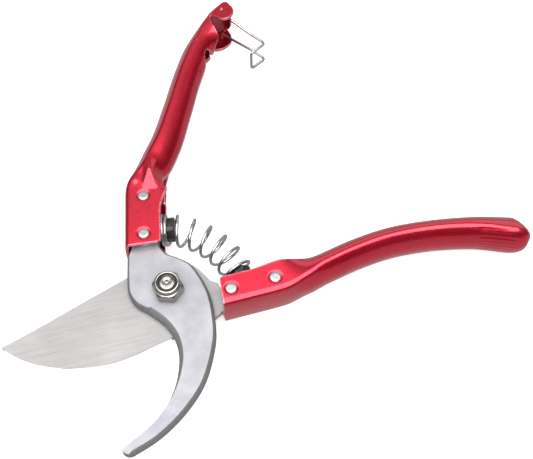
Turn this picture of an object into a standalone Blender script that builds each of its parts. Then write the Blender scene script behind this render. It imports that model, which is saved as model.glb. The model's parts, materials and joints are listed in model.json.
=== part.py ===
"""Bypass pruning shears with pressed sheet-steel handles, lying open on their back.

Lengths are in millimetres and are turned into metres where the meshes are made.
The origin is on the pivot axis, at the outer face of the bolt head, which is also
the plane that the shears lie on. +Z points from the bolt head to the nut.

Each handle has its own root frame: "along" runs out from the pivot axis beside the
handle's straight root, and "inward" points from the handle towards the other one.
Heights in the code are measured from the shear plane, where the two plates meet.
"""

from math import ceil, cos, pi, radians, sin, sqrt, tan

import bmesh
import bpy
from mathutils import Vector
from mathutils.geometry import interpolate_bezier

MM = 0.001
GAP = 0.3

# Plates and their stacking
SHEAR_PLANE_HEIGHT = 9.0
HOOK_THICK = 4.0
BLADE_THICK = 3.0
PLATE_GAP = 0.3
PLATE_BEVEL = 0.8
BLADE_GRIND = 8.0
EDGE_LAND = 0.3

# Pivot bolt, lock nut and washer
BOLT_RADIUS = 3.0
PIVOT_CLEARANCE = 0.1
PIVOT_HOLE_RADIUS = BOLT_RADIUS + PIVOT_CLEARANCE
HEX_ACROSS_FLATS = 10.0
HEAD_THICK = 3.9
WASHER_RADIUS = 6.0
NUT_HEX_HEIGHT = 4.3
NUT_HEIGHT = 6.3
NUT_COLLAR_RADIUS = 4.55
HEX_CHAMFER = 0.6
HEX_FACE_INSET = 0.1
PIVOT_SIDES = 24
NUT_TURN = 26.0
INSERT_RADIUS = 3.85
INSERT_DEPTH = 1.2
INSERT_GAP = 0.15
BOLT_STAND_OUT = 0.3
BOLT_END_CHAMFER = 0.7

# Handles
SHEET = 1.3
ROOT_HALF_DEPTH = 8.2
GRIP_HALF_DEPTH = SHEAR_PLANE_HEIGHT
ROOT_CORNER_RADIUS = 2.5
ROOT_SLANT = 1.4
SLOT_ANGLE = 9.0
SECTION_POWER = 2.6
RIVET_ALONG = (21.5, 37.7)
LIP_INWARD = -2.2

# Rivets and their spacer sleeves
RIVET_RADIUS = 1.5
RIVET_HEAD_RADIUS = 2.1
RIVET_HEAD_DEPTH = 1.1
RIVET_DOME = 0.3
RIVET_SIDES = 16
SPACER_RADIUS = 3.4
SPACER_SIDES = 12

# Coil spring and the plugs it sits on
WIRE_RADIUS = 0.6
COIL_RADIUS = 5.65
SEAT_ALONG = 26.3
SEAT_INWARD = -2.3
FREE_TURNS = 6.15
COIL_START_TURN = 0.52
END_TURNS = 1.5
COIL_STEPS = 12
END_PITCH = 1.35
SPRING_BOW = 13.0
PLUG_RADIUS = 4.7
PLUG_LENGTH = 5.6
PLUG_SIDES = 20
PLUG_CHAMFER = 0.5
SEAT_LEAN = 0.5
SPIGOT_WIDTH = 4.6
SPIGOT_LENGTH = 4.3
TANG_LIP_INWARD = -3.2

# Wire catch
CATCH_WIRE_RADIUS = 0.62
CATCH_ALONG = 127.8
CATCH_INWARD = 26.3
CATCH_LEG = 24.2
CATCH_BEND = 16.0
CATCH_TOE = 8.2
CATCH_ANGLE = -39.3
CATCH_TOE_TURN = -98.0
CATCH_HALF_WIDTH = 4.9
CATCH_CORNER_RADIUS = 1.6


class Side:
    """A handle's root frame: where its straight root points, and which way is inward."""

    def __init__(self, name, angle, turn, outer_edge, plate_low, plate_high):
        self.name = name
        self.along = Vector((cos(radians(angle)), sin(radians(angle))))
        self.inward = Vector((-sin(radians(angle)), cos(radians(angle)))) * turn
        self.turn = turn
        self.rivet_inward = outer_edge + 0.55 * (LIP_INWARD - outer_edge)
        self.tang_outer_inward = outer_edge + SHEET + 2 * GAP
        self.plate_low = plate_low
        self.plate_high = plate_high

    def point(self, along, inward):
        return self.along * along + self.inward * inward


LEFT = Side("left", 94.7, -1, -15.6, PLATE_GAP / 2, HOOK_THICK)
RIGHT = Side("right", 15.5, 1, -13.25, -BLADE_THICK, -PLATE_GAP / 2)

# Handle stations: along, inward, width, half depth, roundness, lip trim (0 none, 1 whole wall).
# Roundness 0 is the square root channel and 1 is the rounded grip.
LEFT_STATIONS = (
    (16.4, -8.9, 13.4, ROOT_HALF_DEPTH, 0.0, 0.0),
    (29.0, -8.9, 13.4, ROOT_HALF_DEPTH, 0.0, 0.0),
    (41.0, -8.4, 14.6, ROOT_HALF_DEPTH, 0.0, 0.0),
    (48.0, -7.4, 12.8, 8.6, 0.6, 0.0),
    (55.0, -4.8, 11.6, 8.9, 1.0, 0.0),
    (64.0, -0.8, 11.0, GRIP_HALF_DEPTH, 1.0, 0.0),
    (80.0, 4.2, 10.4, GRIP_HALF_DEPTH, 1.0, 0.0),
    (99.0, 9.8, 10.3, GRIP_HALF_DEPTH, 1.0, 0.0),
    (104.0, 11.4, 10.2, GRIP_HALF_DEPTH, 1.0, 0.45),
    (107.0, 12.5, 10.2, GRIP_HALF_DEPTH, 1.0, 0.45),
    (109.5, 13.6, 10.3, GRIP_HALF_DEPTH, 1.0, 0.0),
    (114.0, 16.0, 10.5, GRIP_HALF_DEPTH, 0.9, 0.0),
    (118.0, 18.6, 10.8, GRIP_HALF_DEPTH, 0.5, 0.3),
    (121.5, 21.1, 11.0, GRIP_HALF_DEPTH, 0.0, 0.6),
    (124.5, 23.5, 11.0, GRIP_HALF_DEPTH, 0.0, 0.05),
    (127.5, 26.3, 10.8, GRIP_HALF_DEPTH, 0.0, 0.0),
    (129.8, 28.4, 10.3, GRIP_HALF_DEPTH, 0.0, 0.15),
)
RIGHT_STATIONS = (
    (16.9, -7.7, 11.1, ROOT_HALF_DEPTH, 0.0, 0.0),
    (30.0, -7.7, 11.1, ROOT_HALF_DEPTH, 0.0, 0.0),
    (42.0, -7.1, 12.0, ROOT_HALF_DEPTH, 0.0, 0.0),
    (49.0, -6.9, 10.8, 8.6, 0.5, 0.0),
    (57.0, -5.4, 10.2, 8.9, 1.0, 0.0),
    (70.0, -3.0, 10.2, GRIP_HALF_DEPTH, 1.0, 0.0),
    (83.0, -1.8, 10.2, GRIP_HALF_DEPTH, 1.0, 0.0),
    (95.0, -2.4, 10.2, GRIP_HALF_DEPTH, 1.0, 0.0),
    (107.0, -4.3, 10.2, GRIP_HALF_DEPTH, 1.0, 0.0),
    (118.0, -6.9, 10.2, GRIP_HALF_DEPTH, 1.0, 0.0),
    (128.5, -10.6, 10.5, GRIP_HALF_DEPTH, 1.0, 0.0),
)
STATION_SPACING = 4.5
LEFT_NOSE = 4.6
RIGHT_NOSE = 7.2
LEFT_NOSE_LEAN = 1.2
RIGHT_NOSE_LEAN = -1.4
NOSE_TURNS = (20.0, 40.0, 58.0, 74.0)
NOSE_FLOOR = 0.25

RED_PAINT = (0.62, 0.012, 0.035, 1.0)
STEEL = (0.62, 0.62, 0.64, 1.0)
NICKEL = (0.55, 0.53, 0.50, 1.0)
BLACK_PLASTIC = (0.02, 0.02, 0.022, 1.0)
WIRE_STEEL = (0.66, 0.65, 0.64, 1.0)


# ---------------------------------------------------------------- helpers

def clear_scene():
    for item in list(bpy.data.objects):
        bpy.data.objects.remove(item, do_unlink=True)


def material(name, colour, metallic, roughness):
    made = bpy.data.materials.new(name)
    made.use_nodes = True
    shader = made.node_tree.nodes["Principled BSDF"]
    shader.inputs["Base Color"].default_value = colour
    shader.inputs["Metallic"].default_value = metallic
    shader.inputs["Roughness"].default_value = roughness
    return made


def add_object(name, data, finish, parent=None):
    """Link a mesh or curve, already in world metres, as one named part."""
    part = bpy.data.objects.new(name, data)
    bpy.context.scene.collection.objects.link(part)
    if finish:
        data.materials.append(finish)
    if parent:
        part.parent = parent
        data.transform(parent.matrix_world.inverted())
    return part


def joint_empty(name, place):
    empty = bpy.data.objects.new(name, None)
    bpy.context.scene.collection.objects.link(empty)
    empty.location = place
    bpy.context.view_layer.update()
    return empty


def world(point, height):
    """A plan point in millimetres and a height over the shear plane, as world metres."""
    return Vector((point[0], point[1], height + SHEAR_PLANE_HEIGHT)) * MM


def mesh_from(name, points, faces, smooth=True):
    data = bpy.data.meshes.new(name)
    data.from_pydata(points, [], faces)
    shape = bmesh.new()
    shape.from_mesh(data)
    bmesh.ops.recalc_face_normals(shape, faces=shape.faces)
    shape.to_mesh(data)
    shape.free()
    if smooth:
        data.shade_smooth()
        data.set_sharp_from_angle(angle=radians(35))
    return data


def smooth_path(points, spacing):
    """Points along a Catmull-Rom curve through the given points, of any dimension."""
    rows = [tuple(row) for row in points]
    rows = [rows[0]] + rows + [rows[-1]]
    path = []
    for before, start, end, after in zip(rows, rows[1:], rows[2:], rows[3:]):
        length = sqrt((end[0] - start[0]) ** 2 + (end[1] - start[1]) ** 2)
        steps = max(1, ceil(length / spacing))
        for step in range(steps):
            t = step / steps
            path.append(tuple(
                0.5 * (2 * b + (c - a) * t + (2 * a - 5 * b + 4 * c - d) * t ** 2
                       + (3 * b - a - 3 * c + d) * t ** 3)
                for a, b, c, d in zip(before, start, end, after)))
    path.append(rows[-1])
    return path


def stacked_loops(name, loops):
    """A closed solid from loops of equal length, one above the other, with flat ends."""
    count = len(loops[0])
    points = [point for loop in loops for point in loop]
    faces = [tuple(range(count)), tuple(range(len(points) - count, len(points)))]
    for level in range(len(loops) - 1):
        for index in range(count):
            after = (index + 1) % count
            low = level * count
            faces.append((low + index, low + after, low + count + after, low + count + index))
    return mesh_from(name, points, faces)


def turned(name, centre, profile, sides, hex_radius=None, turn=0.0):
    """A solid turned about a vertical axis from (radius, height) points.

    A profile whose ends both lie on the axis is closed there, and any other profile
    is a ring. With hex_radius, the radius is also cut down to a hexagon's.
    """
    solid = profile[0][0] == 0 and profile[-1][0] == 0
    rows = profile[1:-1] if solid else profile
    points = []
    for radius, height in rows:
        for side in range(sides):
            angle = 2 * pi * side / sides
            reach = radius
            if hex_radius:
                flat_angle = (angle + pi / 6) % (pi / 3) - pi / 6
                reach = min(radius, hex_radius / cos(flat_angle))
            place = (centre[0] + reach * cos(angle + turn), centre[1] + reach * sin(angle + turn))
            points.append(world(place, height))
    faces = []
    spans = len(rows) - 1 if solid else len(rows)
    for row in range(spans):
        for side in range(sides):
            low = row * sides
            high = ((row + 1) % len(rows)) * sides
            after = (side + 1) % sides
            faces.append((low + side, low + after, high + after, high + side))
    if solid:
        faces.append(tuple(range(sides)))
        faces.append(tuple(range(len(points) - sides, len(points))))
    return mesh_from(name, points, faces)


def box_cutter(name, side, along, inward, low, high):
    """A box between two limits in a handle's root frame."""
    corners = [(along[0], inward[0]), (along[1], inward[0]), (along[1], inward[1]), (along[0], inward[1])]
    loops = [[world(side.point(*corner), height) for corner in corners] for height in (low, high)]
    return hide_cutter(add_object(name, stacked_loops(name, loops), None))


def rod_cutter(name, centre, profile, sides):
    return hide_cutter(add_object(name, turned(name, centre, profile, sides), None))


def drill(name, centre, radius, reach, sides):
    """An upright cutter for a round hole, reaching as far above the shear plane as below."""
    profile = ((0, reach), (radius, reach), (radius, -reach), (0, -reach))
    return rod_cutter(name, centre, profile, sides)


def hide_cutter(cutter):
    cutter.hide_render = True
    cutter.display_type = "WIRE"
    return cutter


def cut(part, cutter):
    step = part.modifiers.new("cut_" + cutter.name, "BOOLEAN")
    step.operation = "DIFFERENCE"
    step.object = cutter
    step.solver = "EXACT"


def chamfer_rims(part, width):
    """Chamfer a plate's two outlines, and not its upright corners."""
    data = part.data
    weights = data.attributes.new("bevel_weight_edge", "FLOAT", "EDGE")
    for edge in data.edges:
        start, end = (data.vertices[index].co for index in edge.vertices)
        weights.data[edge.index].value = 1.0 if abs(start.z - end.z) < GAP * MM else 0.0
    step = part.modifiers.new("rim", "BEVEL")
    step.width = width * MM
    step.segments = 1
    step.limit_method = "WEIGHT"


def wire(name, path, radius, finish, parent=None):
    """A round wire along world points, closed at both ends."""
    data = bpy.data.curves.new(name, "CURVE")
    data.dimensions = "3D"
    data.bevel_depth = radius * MM
    data.bevel_resolution = 2
    data.use_fill_caps = True
    spline = data.splines.new("POLY")
    spline.points.add(len(path) - 1)
    for point, place in zip(spline.points, path):
        point.co = (*place, 1.0)
    return add_object(name, data, finish, parent)


def rounded_corners(corners, radius, steps=3):
    """A polyline with each inner corner replaced by a short arc, as in bent wire."""
    path = [corners[0]]
    for before, corner, after in zip(corners, corners[1:], corners[2:]):
        back = (before - corner).normalized()
        ahead = (after - corner).normalized()
        half = back.angle(ahead) / 2
        reach = min(radius / tan(half), 0.45 * (before - corner).length, 0.45 * (after - corner).length)
        enter = corner + back * reach
        leave = corner + ahead * reach
        for step in range(steps + 1):
            t = step / steps
            path.append(enter * (1 - t) ** 2 + corner * 2 * t * (1 - t) + leave * t ** 2)
    path.append(corners[-1])
    return path


# ---------------------------------------------------------------- plates

def tang_outline(side, along_end):
    """The end of a plate inside its handle, with clipped corners, outer edge first."""
    clip = 2.0
    outer = side.tang_outer_inward
    return [
        side.point(17.5, outer),
        side.point(along_end - clip, outer),
        side.point(along_end, outer + clip),
        side.point(along_end, TANG_LIP_INWARD - clip),
        side.point(along_end - clip, TANG_LIP_INWARD),
        side.point(SEAT_ALONG + SPIGOT_WIDTH / 2, TANG_LIP_INWARD),
        side.point(SEAT_ALONG + SPIGOT_WIDTH / 2, TANG_LIP_INWARD + SPIGOT_LENGTH),
        side.point(SEAT_ALONG - SPIGOT_WIDTH / 2, TANG_LIP_INWARD + SPIGOT_LENGTH),
        side.point(SEAT_ALONG - SPIGOT_WIDTH / 2, TANG_LIP_INWARD),
        side.point(18.6, TANG_LIP_INWARD),
    ]


def hook_outline():
    """Counter blade, anticlockwise from the jaw's upper corner, ending with its tang."""
    throat = smooth_path([(-16.2, 13.6), (-15.4, 4.0), (-14.4, -1.5), (-11.5, -5.6), (-7.6, -7.8)], 3.0)
    jaw = smooth_path([(-7.0, -8.2), (-1.2, -12.6), (3.0, -18.2), (5.0, -26.4), (3.6, -36.9),
                       (-1.6, -46.8), (-11.6, -55.9)], 3.5)
    tip = [(-12.0, -56.8), (-11.2, -58.0), (-9.8, -58.7)]
    back = smooth_path([(-8.2, -58.4), (0.1, -52.7), (8.0, -44.4), (14.2, -34.0), (17.2, -21.3),
                        (17.1, -11.7), (14.4, -0.3), (8.2, 10.0), (2.4, 13.6), (-1.2, 14.9),
                        (-3.3, 17.0)], 3.5)
    return throat + jaw + tip + back + tang_outline(LEFT, 43.5)[::-1]


def cutting_edge():
    return smooth_path([(-58.1, -20.6), (-52.1, -24.1), (-45.8, -26.3), (-38.4, -27.6),
                        (-31.2, -27.9), (-15.9, -25.3), (1.7, -16.7)], 4.0)


def blade_back():
    """The blade's blunt side, from under the hook round the pivot and back to the tip."""
    boss = smooth_path([(14.4, 5.6), (8.4, 11.4), (0.0, 14.2), (-8.5, 11.2), (-24.3, 1.3),
                        (-47.2, -13.8)], 4.0)
    return [(10.0, -13.0), (16.2, -9.6)] + tang_outline(RIGHT, 43.5) + [(17.2, 4.6)] + boss


def hook_plate(finish):
    outline = hook_outline()
    loops = [[world(point, height) for point in outline] for height in (LEFT.plate_low, LEFT.plate_high)]
    part = add_object("hook_plate", stacked_loops("hook_plate", loops), finish)
    chamfer_rims(part, PLATE_BEVEL)
    drill_plate(part, LEFT)


def cutting_blade(finish, parent):
    """A flat plate towards the hook, ground to its cutting edge from behind."""
    edge = cutting_edge()
    back = blade_back()
    axis = (Vector(edge[-1]) - Vector(edge[0])).normalized()
    up = Vector((-axis.y, axis.x))
    spine_start = Vector((-58.1, -20.6))
    spine_slope = Vector((33.8, 21.9)).normalized()
    ground = []
    for index, point in enumerate(edge):
        run = (Vector(point) - spine_start).dot(spine_slope)
        drop = (spine_start + spine_slope * run - Vector(point)).length
        reach = min(BLADE_GRIND, 0.55 * drop) * min(1.0, (len(edge) - 1 - index) / 2)
        ground.append(tuple(Vector(point) + up * reach))
    face = [world(point, RIGHT.plate_high) for point in edge + back]
    land = [world(point, RIGHT.plate_high - EDGE_LAND) for point in edge + back]
    rear = [world(point, RIGHT.plate_low) for point in ground + back]
    part = add_object("cutting_blade", stacked_loops("cutting_blade", [face, land, rear]), finish, parent)
    drill_plate(part, RIGHT)


def drill_plate(part, side):
    cut(part, drill(side.name + "_pivot_drill", (0, 0), PIVOT_HOLE_RADIUS, 2 * HOOK_THICK, PIVOT_SIDES))
    for index, along in enumerate(RIVET_ALONG):
        name = f"{side.name}_tang_drill_{index}"
        centre = side.point(along, side.rivet_inward)
        cut(part, drill(name, centre, RIVET_RADIUS + GAP, 2 * HOOK_THICK, RIVET_SIDES))


# ---------------------------------------------------------------- pivot

def pivot_bolt(finish):
    head_top = -SHEAR_PLANE_HEIGHT + HEAD_THICK
    flat = HEX_ACROSS_FLATS / 2
    corner = flat / cos(pi / 6)
    end = HOOK_THICK + GAP + NUT_HEIGHT + BOLT_STAND_OUT
    profile = [(0, end), (BOLT_RADIUS - BOLT_END_CHAMFER, end), (BOLT_RADIUS, end - BOLT_END_CHAMFER),
               (BOLT_RADIUS, head_top), (corner, head_top), (corner, -SHEAR_PLANE_HEIGHT + HEX_CHAMFER),
               (flat - HEX_FACE_INSET, -SHEAR_PLANE_HEIGHT), (0, -SHEAR_PLANE_HEIGHT)]
    data = turned("pivot_bolt", (0, 0), profile, PIVOT_SIDES, flat, radians(NUT_TURN))
    add_object("pivot_bolt", data, finish)


def washer_and_nut(finish, insert_finish):
    """The washer under the head, the lock nut, and the plastic ring in the nut's collar."""
    washer_low = -SHEAR_PLANE_HEIGHT + HEAD_THICK + GAP / 2
    washer_high = -BLADE_THICK - GAP / 2
    washer = [(PIVOT_HOLE_RADIUS, washer_high), (WASHER_RADIUS, washer_high),
              (WASHER_RADIUS, washer_low), (PIVOT_HOLE_RADIUS, washer_low)]
    add_object("head_washer", turned("head_washer", (0, 0), washer, PIVOT_SIDES), finish)

    base = HOOK_THICK + GAP
    shoulder = base + NUT_HEX_HEIGHT
    top = base + NUT_HEIGHT
    recess = top - INSERT_DEPTH
    pocket = INSERT_RADIUS + INSERT_GAP
    flat = HEX_ACROSS_FLATS / 2
    corner = flat / cos(pi / 6)
    nut = [(pocket, top), (NUT_COLLAR_RADIUS - GAP, top), (NUT_COLLAR_RADIUS, top - HEX_CHAMFER),
           (NUT_COLLAR_RADIUS, shoulder), (flat - HEX_FACE_INSET, shoulder),
           (corner, shoulder - HEX_CHAMFER), (corner, base + HEX_CHAMFER),
           (flat - HEX_FACE_INSET, base), (PIVOT_HOLE_RADIUS, base),
           (PIVOT_HOLE_RADIUS, recess), (pocket, recess)]
    data = turned("pivot_nut", (0, 0), nut, PIVOT_SIDES, flat, radians(NUT_TURN))
    add_object("pivot_nut", data, finish)

    insert = [(PIVOT_HOLE_RADIUS, top - INSERT_GAP), (INSERT_RADIUS, top - INSERT_GAP),
              (INSERT_RADIUS, recess + INSERT_GAP), (PIVOT_HOLE_RADIUS, recess + INSERT_GAP)]
    add_object("nut_insert", turned("nut_insert", (0, 0), insert, PIVOT_SIDES), insert_finish)


# ---------------------------------------------------------------- handles

def section(width, half_depth, roundness, trim):
    """Outer points of a handle's section as (inward, height), from lip to lip."""
    half = width / 2
    radius = ROOT_CORNER_RADIUS
    walls = [half - (width - radius) * share for share in (0.0, 0.2, 0.45, 0.72, 1.0)]
    box = [(inward, half_depth) for inward in walls]
    for turn in (30, 60, 90):
        box.append((radius - half - radius * sin(radians(turn)),
                    half_depth - radius + radius * cos(radians(turn))))
    box.append((-half, (half_depth - radius) / 2))
    box.append((-half, 0.0))
    angles = (SLOT_ANGLE, 26, 48, 70, 92, 114, 132, 149, 165, 180)
    front = []
    for (box_inward, box_height), angle in zip(box, angles):
        x = cos(radians(angle))
        y = sin(radians(angle))
        power = 2 / SECTION_POWER
        round_inward = half * (abs(x) ** power) * (1 if x > 0 else -1)
        round_height = half_depth * abs(y) ** power
        front.append((box_inward + (round_inward - box_inward) * roundness,
                      box_height + (round_height - box_height) * roundness))
    front = trim_lip(front, trim)
    return front + [(inward, -height) for inward, height in front[-2::-1]]


def trim_lip(front, trim):
    """Slide the wall's first points along the wall, so that the lip ends short."""
    last = 4
    trimmed = []
    for index in range(last):
        place = index + (last - index) * trim
        whole = min(int(place), last - 1)
        part = place - whole
        start = front[whole]
        end = front[whole + 1]
        trimmed.append((start[0] + (end[0] - start[0]) * part, start[1] + (end[1] - start[1]) * part))
    return trimmed + front[last:]


def ring_of(side, row, heading, outline, slant=0.0, advance=0.0, lean=0.0, shrink=1.0, flatten=1.0):
    """World points of one section, placed square to the handle's heading."""
    across = Vector((-heading.y, heading.x))
    width = row[2]
    ring = []
    for inward, height in outline:
        ahead = advance + slant * (inward / width + 0.5)
        place = Vector(row[:2]) + heading * ahead + across * (inward * shrink + lean)
        ring.append(world(side.point(*place), height * flatten))
    return ring


def handle_rings(side, stations, nose_length, nose_lean):
    """Rings of world points along a handle's outer surface, root end first."""
    rows = smooth_path(stations, STATION_SPACING)
    rings = []
    for index, row in enumerate(rows):
        before = rows[max(index - 1, 0)]
        after = rows[min(index + 1, len(rows) - 1)]
        heading = Vector((after[0] - before[0], after[1] - before[1])).normalized()
        outline = section(row[2], row[3], min(max(row[4], 0), 1), min(max(row[5], 0), 1))
        slant = ROOT_SLANT if index == 0 else 0.0
        rings.append(ring_of(side, row, heading, outline, slant=slant))
    for turn in NOSE_TURNS:
        shrink = cos(radians(turn))
        advance = nose_length * sin(radians(turn))
        lean = nose_lean * (1 - shrink)
        flatten = NOSE_FLOOR + (1 - NOSE_FLOOR) * shrink
        rings.append(ring_of(side, rows[-1], heading, outline, advance=advance, lean=lean,
                             shrink=shrink, flatten=flatten))
    return rings


def handle(side, stations, nose_length, nose_lean, finish, parent=None):
    rings = handle_rings(side, stations, nose_length, nose_lean)
    count = len(rings[0])
    points = [point for ring in rings for point in ring]
    faces = []
    for ring in range(len(rings) - 1):
        for index in range(count - 1):
            low = ring * count + index
            quad = (low, low + 1, low + count + 1, low + count)
            faces.append(quad if side.turn > 0 else quad[::-1])
    nose = tuple(range(len(points) - count, len(points)))
    faces.append(nose if side.turn > 0 else nose[::-1])
    name = side.name + "_handle"
    data = bpy.data.meshes.new(name)
    data.from_pydata(points, [], faces)
    data.shade_smooth()
    data.set_sharp_from_angle(angle=radians(35))
    part = add_object(name, data, finish, parent)
    wall = part.modifiers.new("sheet", "SOLIDIFY")
    wall.thickness = SHEET * MM
    wall.offset = -1.0
    wall.use_even_offset = True
    for index, along in enumerate(RIVET_ALONG):
        centre = side.point(along, side.rivet_inward)
        cut(part, rod_cutter(f"{name}_hole_{index}", centre, rivet_profile(GAP), RIVET_SIDES))
    return part


def rivet_profile(grow):
    """Rows of a rivet, sunk flush at both ends. Grown, it is also the hole's cutter."""
    top = ROOT_HALF_DEPTH + RIVET_DOME + grow
    face = ROOT_HALF_DEPTH + grow * 0.4
    neck = ROOT_HALF_DEPTH - RIVET_HEAD_DEPTH
    head = RIVET_HEAD_RADIUS + grow
    shank = RIVET_RADIUS + grow
    upper = [(0, top), (head * 0.6, top - 0.1), (head, face), (head, face - 0.4), (shank, neck)]
    return upper + [(radius, -height) for radius, height in upper[::-1]]


def rivets_and_spacers(side, rivet_finish, spacer_finish, parent=None):
    wall = ROOT_HALF_DEPTH - SHEET - GAP
    for place, along in zip(("inner", "outer"), RIVET_ALONG):
        centre = side.point(along, side.rivet_inward)
        name = f"{side.name}_rivet_{place}"
        add_object(name, turned(name, centre, rivet_profile(0.0), RIVET_SIDES), rivet_finish, parent)
        spans = (("front", side.plate_high + GAP, wall), ("back", -wall, side.plate_low - GAP))
        for face, low, high in spans:
            sleeve = [(RIVET_RADIUS + GAP, high), (SPACER_RADIUS, high), (SPACER_RADIUS, low),
                      (RIVET_RADIUS + GAP, low)]
            name = f"{side.name}_spacer_{place}_{face}"
            add_object(name, turned(name, centre, sleeve, SPACER_SIDES), spacer_finish, parent)


# ---------------------------------------------------------------- spring, plugs and catch

def plug(side, finish, parent=None):
    """A round plug that slides over the tang's spigot and holds the end of the spring."""
    name = side.name + "_spring_plug"
    centre_height = seat_height(side)
    start = TANG_LIP_INWARD + GAP
    loops = []
    for radius, inward in ((PLUG_RADIUS, start), (PLUG_RADIUS, start + PLUG_LENGTH - PLUG_CHAMFER),
                           (PLUG_RADIUS - PLUG_CHAMFER, start + PLUG_LENGTH)):
        loop = []
        for index in range(PLUG_SIDES):
            angle = 2 * pi * (index + 0.5) / PLUG_SIDES
            place = side.point(SEAT_ALONG + radius * cos(angle), inward)
            loop.append(world(place, centre_height + radius * sin(angle)))
        loops.append(loop)
    part = add_object(name, stacked_loops(name, loops), finish, parent)
    reach = SPIGOT_WIDTH / 2 + GAP
    cut(part, box_cutter(name + "_pocket", side, (SEAT_ALONG - reach, SEAT_ALONG + reach),
                         (start - 1.0, TANG_LIP_INWARD + SPIGOT_LENGTH + GAP),
                         side.plate_low - GAP, side.plate_high + GAP))


def seat_height(side):
    """Each spring seat lies a little towards the plate that carries it."""
    return SEAT_LEAN if side is LEFT else -SEAT_LEAN


def spring_axis():
    """World points along the coil's bowed centre line, from the left seat to the right."""
    start = LEFT.point(SEAT_ALONG, SEAT_INWARD)
    end = RIGHT.point(SEAT_ALONG, SEAT_INWARD)
    points = interpolate_bezier(
        world(start, seat_height(LEFT)),
        world(start + LEFT.inward * SPRING_BOW, seat_height(LEFT)),
        world(end + RIGHT.inward * SPRING_BOW, seat_height(RIGHT)),
        world(end, seat_height(RIGHT)), 60)
    return points


def coil_points(steps_per_turn):
    axis = spring_axis()
    runs = [0.0]
    for start, end in zip(axis, axis[1:]):
        runs.append(runs[-1] + (end - start).length / MM)
    free_pitch = (runs[-1] - 2 * END_TURNS * END_PITCH) / FREE_TURNS
    turns = FREE_TURNS + 2 * END_TURNS
    total = int(turns * steps_per_turn)
    points = []
    for step in range(total + 1):
        turn = step / steps_per_turn
        closed = min(turn, END_TURNS) + max(0.0, turn - END_TURNS - FREE_TURNS)
        run = closed * END_PITCH + min(max(turn - END_TURNS, 0.0), FREE_TURNS) * free_pitch
        segment = max(index for index, at in enumerate(runs[:-1]) if at <= run + 1e-9)
        share = (run - runs[segment]) / (runs[segment + 1] - runs[segment])
        centre = axis[segment].lerp(axis[segment + 1], share)
        ahead = (axis[segment + 1] - axis[segment]).normalized()
        sideways = ahead.cross(Vector((0, 0, 1))).normalized()
        angle = 2 * pi * (turn + COIL_START_TURN)
        points.append(centre + (sideways * cos(angle) - Vector((0, 0, 1)) * sin(angle)) * COIL_RADIUS * MM)
    return points


def catch_path():
    """The bent wire: up through one ear, out to the toe's crossbar, and back."""
    hole = LEFT.point(CATCH_ALONG, CATCH_INWARD)
    leg = Vector((cos(radians(CATCH_ANGLE)), sin(radians(CATCH_ANGLE))))
    toe_angle = radians(CATCH_ANGLE + CATCH_TOE_TURN)
    toe = Vector((cos(toe_angle), sin(toe_angle)))
    knee = hole + leg * CATCH_BEND
    corner = hole + leg * CATCH_LEG
    end = corner + toe * CATCH_TOE
    root_height = GRIP_HALF_DEPTH - SHEET - CATCH_WIRE_RADIUS - 0.4
    half = [world(hole, GRIP_HALF_DEPTH + 0.4), world(hole, root_height),
            world(knee, CATCH_HALF_WIDTH), world(corner, CATCH_HALF_WIDTH), world(end, CATCH_HALF_WIDTH)]
    mirrored = [world(hole, -GRIP_HALF_DEPTH + 0.3), world(hole, -root_height),
                world(knee, -CATCH_HALF_WIDTH), world(corner, -CATCH_HALF_WIDTH),
                world(end, -CATCH_HALF_WIDTH)]
    return rounded_corners(half + mirrored[::-1], CATCH_CORNER_RADIUS * MM)


def main():
    clear_scene()
    red = material("red_paint", RED_PAINT, 0.6, 0.25)
    steel = material("ground_steel", STEEL, 0.9, 0.35)
    nickel = material("nickel", NICKEL, 1.0, 0.22)
    black = material("black_plastic", BLACK_PLASTIC, 0.0, 0.5)
    bright = material("spring_wire", WIRE_STEEL, 1.0, 0.25)

    blade_side = joint_empty("blade_side_pivot", (0, 0, 0))
    catch_side = joint_empty("catch_hinge", world(LEFT.point(CATCH_ALONG, CATCH_INWARD), 0))

    hook_plate(steel)
    cutting_blade(steel, blade_side)
    pivot_bolt(nickel)
    washer_and_nut(nickel, black)

    left = handle(LEFT, LEFT_STATIONS, LEFT_NOSE, LEFT_NOSE_LEAN, red)
    ear = LEFT.point(CATCH_ALONG, CATCH_INWARD)
    cut(left, drill("ear_drill", ear, CATCH_WIRE_RADIUS + GAP, GRIP_HALF_DEPTH + SHEET, 12))
    handle(RIGHT, RIGHT_STATIONS, RIGHT_NOSE, RIGHT_NOSE_LEAN, red, blade_side)

    for side, parent in ((LEFT, None), (RIGHT, blade_side)):
        rivets_and_spacers(side, nickel, steel, parent)
        plug(side, black, parent)

    wire("coil_spring", coil_points(COIL_STEPS), WIRE_RADIUS, bright)
    wire("catch_wire", catch_path(), CATCH_WIRE_RADIUS, bright, catch_side)


main()
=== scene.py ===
"""Looks for a pair of pruning shears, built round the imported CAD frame.

Lengths are in millimetres until a mesh is made. Each handle has its own root frame, taken
from the CAD rivets: "along" runs out from the pivot axis beside the handle's straight root,
and "inward" points from the handle towards the other one. Heights are measured from the
shear plane, where the hook and the blade meet.
"""

import json
from math import ceil, cos, pi, radians, sin, sqrt, tan

import bmesh
import bpy
import numpy as np
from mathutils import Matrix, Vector
from mathutils.geometry import interpolate_bezier

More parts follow.
